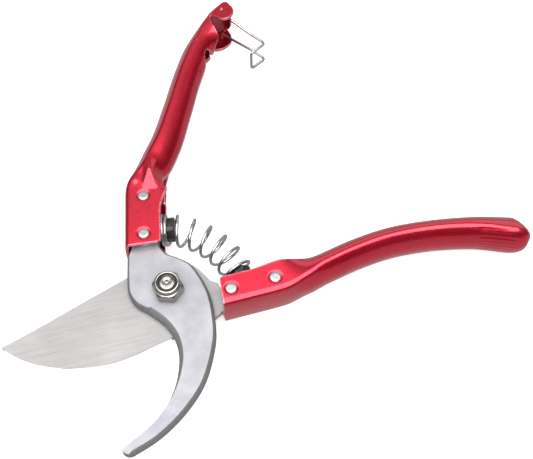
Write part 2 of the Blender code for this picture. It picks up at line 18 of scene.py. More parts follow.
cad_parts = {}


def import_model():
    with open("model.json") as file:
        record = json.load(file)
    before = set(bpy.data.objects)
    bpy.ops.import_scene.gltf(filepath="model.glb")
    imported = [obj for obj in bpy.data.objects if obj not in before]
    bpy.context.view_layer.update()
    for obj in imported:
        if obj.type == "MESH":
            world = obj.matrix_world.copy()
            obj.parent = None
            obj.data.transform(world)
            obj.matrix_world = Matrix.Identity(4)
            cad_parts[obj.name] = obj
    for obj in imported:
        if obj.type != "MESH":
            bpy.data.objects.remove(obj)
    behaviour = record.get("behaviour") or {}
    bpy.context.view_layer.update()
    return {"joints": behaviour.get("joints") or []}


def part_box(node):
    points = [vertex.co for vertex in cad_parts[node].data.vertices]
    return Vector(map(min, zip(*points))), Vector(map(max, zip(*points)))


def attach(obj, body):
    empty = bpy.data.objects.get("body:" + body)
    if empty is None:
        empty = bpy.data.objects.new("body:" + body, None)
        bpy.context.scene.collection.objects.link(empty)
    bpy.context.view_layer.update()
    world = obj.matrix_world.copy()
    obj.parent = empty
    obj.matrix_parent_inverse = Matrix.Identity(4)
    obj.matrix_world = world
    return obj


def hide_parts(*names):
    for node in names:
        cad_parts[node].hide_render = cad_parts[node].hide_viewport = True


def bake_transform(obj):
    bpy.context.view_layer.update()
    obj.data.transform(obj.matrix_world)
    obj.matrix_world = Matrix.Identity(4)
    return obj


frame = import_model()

MM = 0.001
JOINTS = {joint["name"]: joint for joint in frame["joints"]}
SHEAR_PLANE = JOINTS["pivot"]["pos_m"][2] / MM
CATCH_HOLE = Vector(JOINTS["catch_swing"]["pos_m"][:2]) / MM

# Handles, pressed from sheet
SHEET = 1.3
ROOT_HALF_DEPTH = 8.2
GRIP_HALF_DEPTH = SHEAR_PLANE
BACK_TUCK = 2.4
TUCK_RISE = (46, 56)
TUCK_FALL = (111, 116)
CORNER_LENGTH = 1.2
CORNER_SHARE = 0.065
ROOT_SLANT = 1.4
SLANT_LENGTH = 7
ROW_SPACING = 0.9
HALF_COLUMNS = 84
SKIN_ROUNDS = 8
RIM_BULGE = 0.28
NOSE_END_TURN = 84.0
NOSE_FLOOR = 0.3
RIM_TURNS = (22.0, 52.0, 90.0, 128.0, 158.0)

# Rivets
RIVET_SHANK = 1.5
RIVET_HEAD = 2.1
RIVET_DOME = 0.3
DIMPLE_DEPTH = 0.36
DIMPLE_INNER = 2.1
DIMPLE_OUTER = 2.65

# Plates
HOOK_THICK = 4.0
BLADE_THICK = 3.0
PLATE_GAP = 0.3
TANG_LIP = -3.2
SEAT_ALONG = 26.3
SEAT_INWARD = -2.3
SEAT_LEAN = 0.5
TANG_END = 43.5
TANG_CLEARANCE = 0.6
SPIGOT_WIDTH = 4.6
SPIGOT_LENGTH = 4.3

# Pivot
BOLT_RADIUS = 3.0
PIVOT_HOLE = 3.1
HEX_FLATS = 10.0
HEX_CORNER = HEX_FLATS / 2 / cos(pi / 6)
HEX_TURN = 26.0
HEAD_THICK = 3.9
WASHER_RADIUS = 6.0
NUT_BASE = HOOK_THICK + 0.3
NUT_SHOULDER = NUT_BASE + 4.3
NUT_TOP = NUT_BASE + 6.3
COLLAR_RADIUS = 4.55

# Spring and catch
SPRING_WIRE = 0.6
COIL_RADIUS = 5.65
FREE_TURNS = 6.15
END_TURNS = 1.5
END_PITCH = 1.35
COIL_START_TURN = 0.52
SPRING_BOW = 13.0
PLUG_RADIUS = 4.7
PLUG_FLATS = 4.45
PLUG_LENGTH = 5.6
CATCH_WIRE = 0.62
CATCH_LEG = 24.2
CATCH_KNEE = 16.0
CATCH_TOE = 8.0
CATCH_ANGLE = -39.3
CATCH_TOE_TURN = -98.0
CATCH_HALF_WIDTH = 4.9
CATCH_CORNER = 1.6

# Camera and floor, in metres and degrees
LENS = 54.03
CAMERA_PLACE = (0.0351, -0.1180, 0.2755)
CAMERA_TILT = 28.5
FLOOR_REACH = 1.6
FLOOR_HEIGHT = -0.0002


class Side:
    """A handle's root frame, found from the middles of its two CAD rivets."""

    def __init__(self, name, turn, body, plate_low, plate_high):
        self.name = name
        self.turn = turn
        self.body = body
        self.plate_low = plate_low
        self.plate_high = plate_high
        inner = middle(name + "_rivet_inner")
        outer = middle(name + "_rivet_outer")
        self.along = (outer - inner).normalized()
        self.inward = Vector((-self.along.y, self.along.x)) * turn
        self.rivets = ((inner.dot(self.along), inner.dot(self.inward)),
                       (outer.dot(self.along), outer.dot(self.inward)))

    def point(self, along, inward):
        return self.along * along + self.inward * inward


def middle(node):
    """The middle of a CAD node's box in plan, in millimetres."""
    low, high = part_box(node)
    return Vector(((low[0] + high[0]) / 2, (low[1] + high[1]) / 2)) / MM


LEFT = Side("left", -1, "hook_side", PLATE_GAP / 2, HOOK_THICK)
RIGHT = Side("right", 1, "blade_side", -BLADE_THICK, -PLATE_GAP / 2)

# Handle stations: along, inward, width, half depth, roundness, spine turn, corner radius, tilt.
# Roundness 0 is the square root channel and 1 is the curled grip. The spine turn is how far
# the spine's arc turns from its middle to the crease, and the tilt is how steeply the grip's
# wall leaves the crease, both in degrees.
ROOT = (ROOT_HALF_DEPTH, 0.0, 8.0, 2.3, 8.0)
LEFT_GRIP = (GRIP_HALF_DEPTH, 1.0, 53.0, 2.2, 8.0)
RIGHT_GRIP = (GRIP_HALF_DEPTH, 1.0, 52.0, 2.4, 8.0)
LEFT_STATIONS = (
    (16.4, -8.9, 13.4, *ROOT),
    (29.0, -8.9, 13.4, *ROOT),
    (39.0, -8.6, 14.2, ROOT_HALF_DEPTH, 0.0, 10.0, 2.3, 8.0),
    (43.0, -8.5, 14.6, 8.3, 0.1, 24.0, 2.1, 8.0),
    (46.5, -7.7, 13.8, 8.5, 0.4, 38.0, 2.0, 8.0),
    (50.5, -6.4, 12.4, 8.8, 0.8, 48.0, 2.0, 8.0),
    (56.0, -3.7, 13.0, 9.0, 1.0, 52.0, 2.2, 8.0),
    (64.0, -0.2, 12.8, *LEFT_GRIP),
    (80.0, 4.8, 12.2, *LEFT_GRIP),
    (99.0, 10.3, 11.9, GRIP_HALF_DEPTH, 1.0, 54.0, 2.2, 8.0),
    (109.0, 14.0, 11.9, GRIP_HALF_DEPTH, 1.0, 56.0, 2.0, 8.0),
    (114.0, 16.5, 11.5, GRIP_HALF_DEPTH, 0.9, 52.0, 2.0, 8.0),
    (118.0, 18.9, 11.3, GRIP_HALF_DEPTH, 0.5, 44.0, 1.8, 4.0),
    (121.5, 21.1, 11.0, GRIP_HALF_DEPTH, 0.1, 36.0, 1.8, 0.0),
    (124.5, 23.5, 11.0, GRIP_HALF_DEPTH, 0.0, 30.0, 1.6, 0.0),
    (129.6, 28.2, 10.3, GRIP_HALF_DEPTH, 0.0, 28.0, 1.4, 0.0),
)
RIGHT_STATIONS = (
    (16.9, -7.7, 11.1, *ROOT),
    (30.0, -7.7, 11.1, *ROOT),
    (41.0, -7.1, 12.0, ROOT_HALF_DEPTH, 0.0, 10.0, 2.3, 8.0),
    (49.0, -6.9, 10.8, 8.8, 0.5, 34.0, 2.6, 8.0),
    (57.0, -5.4, 10.2, 9.0, 1.0, 50.0, 2.3, 8.0),
    (70.0, -3.0, 10.2, *RIGHT_GRIP),
    (83.0, -1.8, 10.2, *RIGHT_GRIP),
    (95.0, -2.4, 10.2, *RIGHT_GRIP),
    (107.0, -4.2, 10.4, *RIGHT_GRIP),
    (118.0, -6.75, 11.0, GRIP_HALF_DEPTH, 1.0, 50.0, 2.4, 8.0),
    (128.5, -10.4, 12.1, GRIP_HALF_DEPTH, 1.0, 46.0, 2.4, 8.0),
)


def lip_rows(*rows):
    """Rows of a lip table. Two numbers stand for a cut straight across the handle."""
    return [row if len(row) == 3 else (row[0], row[0], row[1]) for row in rows]


# Where each lip runs: along at the spine, along at the lip if that differs, and the share of
# the half section that is cut away, which is below zero where the lip reaches further.
LEFT_FRONT_LIP = lip_rows(
    (0.0, 0.0), (33.0, 0.0), (37.0, -0.03), (41.0, -0.09), (44.0, -0.08), (48.0, -0.03), (52.0, 0.0),
    (100.0, 0.0), (102.0, 102.4, 0.05), (104.0, 104.8, 0.16), (106.0, 107.2, 0.26),
    (108.0, 109.6, 0.33), (109.4, 111.3, 0.33), (110.2, 112.9, 0.18), (111.0, 114.4, 0.0),
    (114.5, 116.2, 0.0), (117.0, 118.0, 0.06), (119.2, 120.4, 0.22), (121.2, 122.5, 0.38),
    (122.8, 123.9, 0.43), (123.8, 124.2, 0.32), (124.8, 124.6, 0.17), (126.0, 125.7, 0.07),
    (127.8, 0.02), (129.6, 0.06), (130.6, 0.12), (131.3, 0.22), (131.9, 0.40), (132.6, 0.5),
    (200.0, 0.5))
LEFT_BACK_LIP = lip_rows(
    (0.0, 0.0), (88.0, 0.0), (93.0, 0.06), (98.0, 0.16), (103.0, 0.20), (109.0, 0.21),
    (114.0, 0.22), (117.0, 0.30), (119.3, 119.0, 0.35), (120.8, 120.4, 0.33), (122.0, 121.6, 0.20),
    (123.4, 123.2, 0.10), (125.0, 0.06), (127.0, 0.05), (128.6, 0.10), (129.8, 0.20),
    (130.8, 0.32), (131.6, 0.42), (132.6, 0.5), (200.0, 0.5))
RIGHT_LIP = lip_rows((0.0, 0.0), (112.0, 0.0), (124.0, -0.045), (200.0, -0.045))

# The height at which each lip stops, front half and back half
LEFT_LIP_HEIGHTS = (-1.8, 2.5)
RIGHT_LIP_HEIGHTS = (0.5, 0.5)

# Ranges along each handle where the mesh is closer, because there is detail
LEFT_DETAIL = ((17, 50), (96, 131))
RIGHT_DETAIL = ((17, 50),)

# The flat where the left root rises to the grip, and the swell and knuckle it is pressed in
FLAT_INWARD = -5.2
FLAT_REACH = 3.1
FLAT_HEIGHT = 8.22
FLAT_SLOPE = 0.185
FLAT_START = 40.4
FLAT_END = 54.0
SWELL_HEIGHT = 2.2
SWELL_RISE = (39.8, 45.0)
SWELL_FALL = (47.5, 57.0)
KNUCKLE_HEIGHT = 0.35
KNUCKLE_PLACE = (45.2, -11.0)
KNUCKLE_SPREAD = (1.9, 1.3)

# Ribs along the right grip's spine, near its end
RIB_COUNT = 12.5
RIB_DEPTH = 0.16
RIB_RISE = (113, 117)
RIB_FALL = (126, 130)

# Noses: length, how full the curve is on the outer side, on the inner side and in height, and droop at the
# tip
LEFT_NOSE = (3.6, 2.0, 3.0, 5.0, 0.0)
RIGHT_NOSE = (6.95, 2.3, 1.4, 2.0, 1.5)


# ---------------------------------------------------------------- mesh helpers

def world(point, height):
    """A plan point in millimetres and a height over the shear plane, as world metres."""
    return (point[0] * MM, point[1] * MM, (height + SHEAR_PLANE) * MM)


def spline(table, column, places):
    """A smooth curve through one column of a table, read at the given places."""
    x = np.array([row[0] for row in table])
    y = np.array([row[column] for row in table])
    slope = np.gradient(y, x)
    rise = np.diff(y) / np.diff(x)
    limit = 3 * np.minimum(np.abs(np.r_[rise[0], rise]), np.abs(np.r_[rise, rise[-1]]))
    slope = np.clip(slope, -limit, limit)
    index = np.clip(np.searchsorted(x, places) - 1, 0, len(x) - 2)
    width = x[index + 1] - x[index]
    t = np.clip((places - x[index]) / width, 0, 1)
    start = (1 + 2 * t) * (1 - t) ** 2 * y[index] + t * (1 - t) ** 2 * width * slope[index]
    end = t * t * (3 - 2 * t) * y[index + 1] + t * t * (t - 1) * width * slope[index + 1]
    return start + end


def smoothstep(low, high, value):
    t = np.clip((value - low) / (high - low), 0, 1)
    return t * t * (3 - 2 * t)


def window(rise, fall, value):
    """1 between two ranges, rising over the first and falling over the second."""
    return smoothstep(*rise, value) * (1 - smoothstep(*fall, value))


def smooth_path(points, spacing):
    """Points along a Catmull-Rom curve through the given points."""
    rows = [tuple(row) for row in points]
    rows = [rows[0]] + rows + [rows[-1]]
    path = []
    for before, start, end, after in zip(rows, rows[1:], rows[2:], rows[3:]):
        length = sqrt((end[0] - start[0]) ** 2 + (end[1] - start[1]) ** 2)
        steps = max(1, ceil(length / spacing))
        for step in range(steps):
            t = step / steps
            path.append(tuple(
                0.5 * (2 * b + (c - a) * t + (2 * a - 5 * b + 4 * c - d) * t ** 2
                       + (3 * b - a - 3 * c + d) * t ** 3)
                for a, b, c, d in zip(before, start, end, after)))
    path.append(rows[-1])
    return path


def mesh_from(name, points, faces, sharp_angle=180.0):
    data = bpy.data.meshes.new(name)
    data.from_pydata(points, [], faces)
    shape = bmesh.new()
    shape.from_mesh(data)
    bmesh.ops.recalc_face_normals(shape, faces=shape.faces)
    shape.to_mesh(data)
    shape.free()
    data.shade_smooth()
    if sharp_angle < 180.0:
        data.set_sharp_from_angle(angle=radians(sharp_angle))
    return data


def placed(name, data):
    """A new object, linked to the scene."""
    made = bpy.data.objects.new(name, data)
    bpy.context.scene.collection.objects.link(made)
    return made


def piece(name, data, finish, body, slot, *nodes):
    """Link a mesh as one visible piece that rides on a body and stands for CAD nodes."""
    made = placed(name, data)
    data.materials.append(finish)
    if body:
        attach(made, body)
    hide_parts(*nodes)
    return made


def paint(data, name, values):
    """Store a value on each of a mesh's points, for its material to read."""
    layer = data.attributes.new(name, "FLOAT", "POINT")
    layer.data.foreach_set("value", np.array(values, dtype=np.float32))


def grid_faces(rows, columns, start=0, wrap=False):
    """Quads over a grid of points numbered row by row."""
    faces = []
    for row in range(rows - 1):
        for column in range(columns if wrap else columns - 1):
            low = start + row * columns
            after = (column + 1) % columns
            faces.append((low + column, low + after, low + columns + after, low + columns + column))
    return faces


def lathe(profile, sides, place, limit=None):
    """Points and faces of a solid turned about an axis from (radius, height) rows.

    place puts (across, up, height) into the world. limit, if given, caps the radius at an
    angle, which leaves flat sides. Rows on the axis close the solid; otherwise it is a ring.
    """
    solid = profile[0][0] == 0 and profile[-1][0] == 0
    rows = profile[1:-1] if solid else profile
    points = []
    for radius, height in rows:
        for side in range(sides):
            angle = 2 * pi * side / sides
            reach = min(radius, limit(angle)) if limit else radius
            points.append(place(reach * cos(angle), reach * sin(angle), height))
    faces = grid_faces(len(rows), sides, wrap=True)
    if solid:
        faces.append(tuple(range(sides)))
        faces.append(tuple(range(len(points) - sides, len(points))))
    else:
        last = (len(rows) - 1) * sides
        for side in range(sides):
            after = (side + 1) % sides
            faces.append((last + side, last + after, after, side))
    return points, faces


def turned(name, rows, sides, place, sharp_angle, finish, body, slot, node, limit=None):
    """A visible piece turned on the lathe."""
    points, faces = lathe(rows, sides, place, limit)
    return piece(name, mesh_from(name, points, faces, sharp_angle), finish, body, slot, node)


def upright(centre, turn=0.0):
    """A place function for a lathe that stands on the shear plane at a plan point."""
    def place(across, up, height):
        x = across * cos(turn) - up * sin(turn)
        y = across * sin(turn) + up * cos(turn)
        return world((centre[0] + x, centre[1] + y), height)
    return place


def arc(centre, radius, start, end, steps):
    """(radius, height) rows along a circular arc, for lathe profiles."""
    rows = []
    for step in range(steps + 1):
        angle = radians(start + (end - start) * step / steps)
        rows.append((centre[0] + radius * cos(angle), centre[1] + radius * sin(angle)))
    return rows


def carve(part, cutters):
    """Cut solids out of a piece and keep the result as its mesh."""
    for cutter in cutters:
        step = part.modifiers.new("cut", "BOOLEAN")
        step.operation = "DIFFERENCE"
        step.object = cutter
        step.solver = "EXACT"
    bpy.context.view_layer.update()
    evaluated = part.evaluated_get(bpy.context.evaluated_depsgraph_get())
    part.data = bpy.data.meshes.new_from_object(evaluated)
    part.modifiers.clear()
    for cutter in cutters:
        bpy.data.objects.remove(cutter, do_unlink=True)


def drill(centre, radius, reach=20.0, sides=48):
    profile = ((0, reach), (radius, reach), (radius, -reach), (0, -reach))
    points, faces = lathe(profile, sides, upright(centre))
    return placed("drill", mesh_from("drill", points, faces))


def tube(name, path, radius, sides=14):
    """A round wire swept along world points, with slightly domed ends."""
    count = len(path)
    ahead = [(path[min(i + 1, count - 1)] - path[max(i - 1, 0)]).normalized() for i in range(count)]
    normal = ahead[0].orthogonal().normalized()
    points = []
    for index, centre in enumerate(path):
        normal = (normal - ahead[index] * normal.dot(ahead[index])).normalized()
        across = ahead[index].cross(normal)
        for side in range(sides):
            angle = 2 * pi * side / sides
            points.append(centre + (normal * cos(angle) + across * sin(angle)) * radius * MM)
    faces = grid_faces(count, sides, wrap=True)
    for end, row in ((0, 0), (count - 1, count - 1)):
        outwards = -ahead[end] if end == 0 else ahead[end]
        points.append(path[end] + outwards * radius * 0.35 * MM)
        tip = len(points) - 1
        for side in range(sides):
            faces.append((row * sides + side, row * sides + (side + 1) % sides, tip))
    return mesh_from(name, points, faces, 50.0)


# ---------------------------------------------------------------- handles

def curve_points(corners, count):
    """Evenly parametrised points on a Bezier curve with any number of corners."""
    t = np.linspace(0, 1, count)[:, None]
    corners = [np.array(corner, dtype=float) for corner in corners]
    while len(corners) > 1:
        corners = [one * (1 - t) + two * t for one, two in zip(corners, corners[1:])]
    return corners[0]


def trim_start(path, length):
    """A path with the given length taken off its start."""
    runs = np.r_[0, np.cumsum(np.linalg.norm(np.diff(path, axis=0), axis=1))]
    places = np.linspace(min(length, runs[-1] * 0.9), runs[-1], len(path))
    return np.stack([np.interp(places, runs, path[:, axis]) for axis in (0, 1)], axis=1)


def section(width, half_depth, roundness, spine_turn, corner, tilt, lip, shares):
    """Half a section as (inward, height) rows, share 0 at the lip and 1 at the spine.

    The spine is an arc that turns through spine_turn up to a crease. Beyond the crease the
    root has a flat face, and the grip has a wall that curls in to its lip.
    """
    turn = radians(spine_turn)
    radius = half_depth / sin(turn)
    crease = np.array([-width / 2 + radius * (1 - cos(turn)), half_depth])
    swing = np.linspace(turn, 0, 40)[:, None]
    spine = np.hstack([-width / 2 + radius * (1 - np.cos(swing)), radius * np.sin(swing)])
    edge = width / 2
    span = edge - crease[0]
    tilt = radians(tilt)
    flat = [(crease[0] + span * share, half_depth) for share in (0, 0.35, 0.7, 1, 1, 1)]
    fall = half_depth - 0.5 * span * tan(tilt)
    curl = [(crease[0], half_depth), (crease[0] + 0.5 * span, fall),
            (edge - 0.14 * span, half_depth * 0.62), (edge, max(half_depth * 0.24, lip + 2.4)),
            (edge, lip + 1.0), (edge - 1.0, lip)]
    mixed = [np.array(one) * (1 - roundness) + np.array(two) * roundness for one, two in zip(flat, curl)]
    wall = np.vstack([curve_points(mixed[:4], 40), curve_points(mixed[3:], 12)[1:]])
    bend = pi / 2 - turn + tilt * roundness
    reach = corner * tan(bend / 2)
    spine = trim_start(spine, reach)
    wall = trim_start(wall, reach)
    fillet = curve_points([wall[0], crease, spine[0]], 14)
    path = np.vstack([wall[::-1], fillet[1:-1], spine])
    runs = np.r_[0, np.cumsum(np.linalg.norm(np.diff(path, axis=0), axis=1))]
    keep = np.r_[True, np.diff(runs) > 1e-6]
    path = path[keep]
    runs = runs[keep]
    places = shares * runs[-1]
    rows = np.stack([np.interp(places, runs, path[:, axis]) for axis in (0, 1)], axis=1)
    ahead = path[0] - path[2]
    ahead = ahead / np.linalg.norm(ahead)
    return rows - np.minimum(places, 0)[:, None] * ahead


def shell_surface(stations, nose, lip, along, share):
    """Outer surface of a half shell in the root frame, as (along, inward, height) arrays."""
    end = stations[-1][0]
    base = np.clip(along, stations[0][0], end)
    step = 0.05
    ahead_of = np.minimum(base + step, end)
    slope = (spline(stations, 1, ahead_of) - spline(stations, 1, base - step)) / (ahead_of - base + step)
    centre = spline(stations, 1, base)
    inward = np.zeros_like(share)
    height = np.zeros_like(share)
    for row in range(len(share)):
        place = base[row].mean()
        numbers = [float(spline(stations, column, np.array([place]))[0]) for column in range(2, 8)]
        rows = section(*numbers, lip, share[row])
        inward[row] = rows[:, 0]
        height[row] = rows[:, 1]
    length, outer_power, inner_power, height_power, droop = nose
    over = np.clip((along - end) / length, 0, 1)
    power = np.where(inward > 0, inner_power, outer_power)
    shrink = (1 - over ** power) ** (1 / power)
    inward = inward * shrink - droop * over ** 2
    height = height * (NOSE_FLOOR + (1 - NOSE_FLOOR) * (1 - over ** height_power) ** (1 / height_power))
    norm = np.sqrt(1 + slope ** 2)
    ahead = over * length
    place_along = base + (ahead - slope * inward) / norm + np.minimum(along - stations[0][0], 0)
    place_inward = centre + (slope * ahead + inward) / norm
    return np.stack([place_along, place_inward, height], axis=-1)


def shell_rows(stations, nose, features):
    """Places along the spine, closer together where there is detail, ending round the nose."""
    start = stations[0][0]
    end = stations[-1][0]
    places = [start + 0.25 * index for index in range(8)]
    while places[-1] < end:
        near = any(low <= places[-1] <= high for low, high in features)
        places.append(places[-1] + (0.4 if near else 1.0) * ROW_SPACING)
    places = [place for place in places if place < end - 0.3] + [end]
    turns = np.radians(np.linspace(0, NOSE_END_TURN, 20)[1:])
    return np.array(places + [end + nose[0] * sin(turn) for turn in turns])


def grid_normals(points):
    along = np.gradient(points, axis=0)
    across = np.gradient(points, axis=1)
    normal = np.cross(along, across)
    length = np.linalg.norm(normal, axis=-1, keepdims=True)
    return normal / np.maximum(length, 1e-9)


def softened(field, rounds):
    """Unit vectors on a grid, evened out with their neighbours so that an offset skin folds less."""
    for _ in range(rounds):
        for axis in (0, 1):
            padded = np.concatenate([field.take([0], axis), field, field.take([-1], axis)], axis)
            count = field.shape[axis]
            before = padded.take(range(count), axis)
            after = padded.take(range(2, count + 2), axis)
            field = (before + 2 * field + after) / 4
    length = np.linalg.norm(field, axis=-1, keepdims=True)
    return field / np.maximum(length, 1e-9)


def outer_skin(stations, nose, rows, lips, lip_heights, press):
    """The outer surface from the front lip round the spine to the back lip, row by row."""
    from_root = rows[:, None] - rows[0]
    across = np.linspace(0, 1, HALF_COLUMNS + 1)[None, :]
    halves = []
    for is_front, lip, lip_height in zip((True, False), lips, lip_heights):
        lip_along = spline(lip, 1, rows)[:, None]
        lip_share = spline(lip, 2, rows)[:, None]
        corner = np.clip(1 - from_root / CORNER_LENGTH, 0, 1)
        lip_share = lip_share + CORNER_SHARE * (1 - np.sqrt(1 - corner ** 2))
        along = lip_along + (rows[:, None] - lip_along) * smoothstep(0, 1, across)
        share = lip_share + (1 - lip_share) * across
        half = shell_surface(stations, nose, lip_height, along, share)
        half[..., 0] += ROOT_SLANT * (1 - across) * (1 - smoothstep(0, SLANT_LENGTH, from_root))
        halves.append(press(half, share, is_front))
    front, back = halves
    back = back * np.array([1, 1, -1])
    return np.concatenate([front, back[:, -2::-1]], axis=1)


def rim_points(outer, inner, chain):
    """A rounded edge between the skins: a few points for each (row, column) of the chain."""
    columns = outer.shape[1]
    rim = []
    for row, column in chain:
        here = outer[row, column]
        away = np.zeros(3)
        if row == 0:
            away += here - outer[1, column]
        if column in (0, columns - 1):
            away += here - outer[row, 1 if column == 0 else columns - 2]
        away = away / max(np.linalg.norm(away), 1e-9)
        centre = (here + inner[row, column]) / 2
        for turn in RIM_TURNS:
            x = cos(radians(turn))
            y = sin(radians(turn))
            flat = abs(x) ** 0.6 * (1 if x > 0 else -1)
            rim.append(centre + (here - centre) * flat + away * RIM_BULGE * y ** 0.6)
    return np.array(rim)


def shell_faces(chain, count_rows, columns):
    """Faces of the two skins, the rim between them, and the flat ends at the nose."""
    skin = count_rows * columns
    faces = grid_faces(count_rows, columns) + grid_faces(count_rows, columns, skin)
    strips = []
    for index, (row, column) in enumerate(chain):
        first = row * columns + column
        start = 2 * skin + index * len(RIM_TURNS)
        strips.append([first, *range(start, start + len(RIM_TURNS)), skin + first])
    for one, two in zip(strips, strips[1:]):
        for k in range(len(one) - 1):
            faces.append((one[k], two[k], two[k + 1], one[k + 1]))
    for last in (skin - columns, 2 * skin - columns):
        faces.append(tuple(range(last, last + columns)))
    faces.append(tuple(strips[0] + strips[-1][::-1]))
    return faces


def handle(side, stations, nose, lips, lip_heights, features, press, finish, extra_drills=()):
    """A sheet-metal shell: outer skin, inner skin, and a rounded rim all round."""
    rows = shell_rows(stations, nose, features)
    outer = outer_skin(stations, nose, rows, lips, lip_heights, press)
    inner = outer + softened(grid_normals(outer), SKIN_ROUNDS) * SHEET
    count_rows, columns = outer.shape[:2]
    skin = count_rows * columns
    chain = [(row, 0) for row in range(count_rows - 1, 0, -1)]
    chain += [(0, column) for column in range(columns)]
    chain += [(row, columns - 1) for row in range(1, count_rows)]
    plan = np.concatenate([outer.reshape(-1, 3), inner.reshape(-1, 3), rim_points(outer, inner, chain)])
    points = [world(side.point(along, inward), height) for along, inward, height in plan]
    data = mesh_from(side.name + "_handle_shell", points, shell_faces(chain, count_rows, columns))

    worn = lip_wear(side, rows)
    rim = np.zeros(len(plan))
    for line, strength in ((0, 1.0), (1, 0.5)):
        for column in (line, columns - 1 - line):
            rim[column:skin:columns] = strength * worn
        rim[line * columns:(line + 1) * columns] = strength
    rim[2 * skin:] = np.repeat([1.0 if row == 0 else worn[row] for row, column in chain], len(RIM_TURNS))
    # Painted shade: the inner skin is marked, and the red finish darkens it nearly to black there.
    inner_shade = np.zeros(len(plan))
    inner_shade[skin:2 * skin] = 1.0
    paint(data, "rim", rim)
    paint(data, "inner_shade", inner_shade)
    part = piece(side.name + "_handle_shell", data, finish, side.body, "red_paint", side.name + "_handle")
    cutters = [drill(side.point(*rivet), RIVET_SHANK + 0.25) for rivet in side.rivets]
    cutters += [drill(centre, radius) for centre, radius in extra_drills]
    carve(part, cutters)


def lip_wear(side, rows):
    """How much of the cut edge shows as a pale line: little where the grip's lips close up."""
    worn = 1 - 0.9 * smoothstep(47.0, 56.0, rows)
    if side is LEFT:
        worn = worn + 0.9 * smoothstep(96.0, 101.0, rows)
    return worn


def dimples(side, half):
    """Sink the sheet a little round each rivet."""
    for along, inward in side.rivets:
        away = np.hypot(half[..., 0] - along, half[..., 1] - inward)
        sunk = 1 - smoothstep(DIMPLE_INNER, DIMPLE_OUTER, away)
        half[..., 2] -= DIMPLE_DEPTH * sunk * (half[..., 2] > ROOT_HALF_DEPTH / 2)
    return half


def left_press(half, share, is_front):
    """Dimples, and the flats the press leaves on the bend where the root meets the grip.

    The back half's lip is tucked behind the front one.
    """
    half = dimples(LEFT, half)
    along = half[..., 0]
    inward = half[..., 1]
    if not is_front:
        tuck = window(TUCK_RISE, TUCK_FALL, along)
        half[..., 1] -= BACK_TUCK * tuck * (1 - smoothstep(0.15, 0.6, share))
        return half
    front = half[..., 2] > ROOT_HALF_DEPTH / 2
    swell = window(SWELL_RISE, SWELL_FALL, along)
    spread = 2.7 - 0.3 * smoothstep(42.0, 51.0, along)
    swell = swell * np.exp(-((inward - FLAT_INWARD) / spread) ** 2)
    away = [(value - middle_value) / spread_value for value, middle_value, spread_value
            in zip((along, inward), KNUCKLE_PLACE, KNUCKLE_SPREAD)]
    knuckle = np.exp(-away[0] ** 2 - away[1] ** 2)
    half[..., 2] += front * (SWELL_HEIGHT * swell + KNUCKLE_HEIGHT * knuckle)
    near = (along > FLAT_START) & (along < FLAT_END) & (np.abs(inward - FLAT_INWARD) < FLAT_REACH)
    flat = FLAT_HEIGHT + FLAT_SLOPE * (along - FLAT_START)
    half[..., 2] = np.where(near & front, np.minimum(half[..., 2], flat), half[..., 2])
    return half


def right_press(half, share, is_front):
    """Dimples, and fine ribs along the spine near the end. Both halves are pressed alike."""
    half = dimples(RIGHT, half)
    ribs = 0.5 - 0.5 * np.cos(2 * pi * share * RIB_COUNT)
    ribbed = window(RIB_RISE, RIB_FALL, half[..., 0]) * smoothstep(0.52, 0.6, share)
    half[..., 1] += RIB_DEPTH * ribs * ribbed
    return half


# ---------------------------------------------------------------- plates

def loop_inward(loop):
    """Unit vectors that point into a closed anticlockwise loop at each of its points."""
    shape = np.array(loop)
    ahead = np.roll(shape, -1, axis=0) - shape
    behind = shape - np.roll(shape, 1, axis=0)
    ahead /= np.linalg.norm(ahead, axis=1, keepdims=True)
    behind /= np.linalg.norm(behind, axis=1, keepdims=True)
    tangent = ahead + behind
    tangent /= np.maximum(np.linalg.norm(tangent, axis=1, keepdims=True), 1e-6)
    return np.stack([-tangent[:, 1], tangent[:, 0]], axis=1)


def plate(name, loops, finish, body, slot, node, holes, sharp_angle):
    """A plate from loops of plan points at their heights, with flat ends and drilled holes."""
    count = len(loops[0][1])
    points = []
    for height, loop in loops:
        points += [world(point, height) for point in loop]
    faces = grid_faces(len(loops), count, wrap=True)
    faces.append(tuple(range(count)))
    faces.append(tuple(range(len(points) - count, len(points))))
    data = mesh_from(name, points, faces, sharp_angle)
    # Painted shade: the side walls are marked, more strongly the lower they lie, so that a finish can
    # darken them.
    highest = max(height for height, loop in loops)
    drops = [highest - height for height, loop in loops]
    wall_shade = [min(1.0, 0.62 + 0.25 * drop) if drop else 0.0 for drop in drops]
    paint(data, "wall", np.repeat(wall_shade, count))
    part = piece(name, data, finish, body, slot, node)
    carve(part, [drill(centre, radius) for centre, radius in holes])
    part.data.set_sharp_from_angle(angle=radians(sharp_angle))
    return part


def tang_outline(side, spine):
    """The end of a plate within its handle, outer edge first, with a spigot for the plug."""
    clip = 2.0
    half = SPIGOT_WIDTH / 2
    outer = spine + SHEET + TANG_CLEARANCE
    top = TANG_LIP + SPIGOT_LENGTH
    corners = ((17.5, outer), (TANG_END - clip, outer), (TANG_END, outer + clip),
               (TANG_END, TANG_LIP - clip), (TANG_END - clip, TANG_LIP),
               (SEAT_ALONG + half, TANG_LIP), (SEAT_ALONG + half, top),
               (SEAT_ALONG - half, top), (SEAT_ALONG - half, TANG_LIP), (18.6, TANG_LIP))
    return [tuple(side.point(*corner)) for corner in corners]


def root_spine(stations):
    """How far inward the back of a handle's root lies."""
    inward, width = stations[0][1:3]
    return inward - width / 2


def plate_holes(side):
    holes = [((0, 0), PIVOT_HOLE)]
    return holes + [(side.point(*rivet), RIVET_SHANK + 0.3) for rivet in side.rivets]


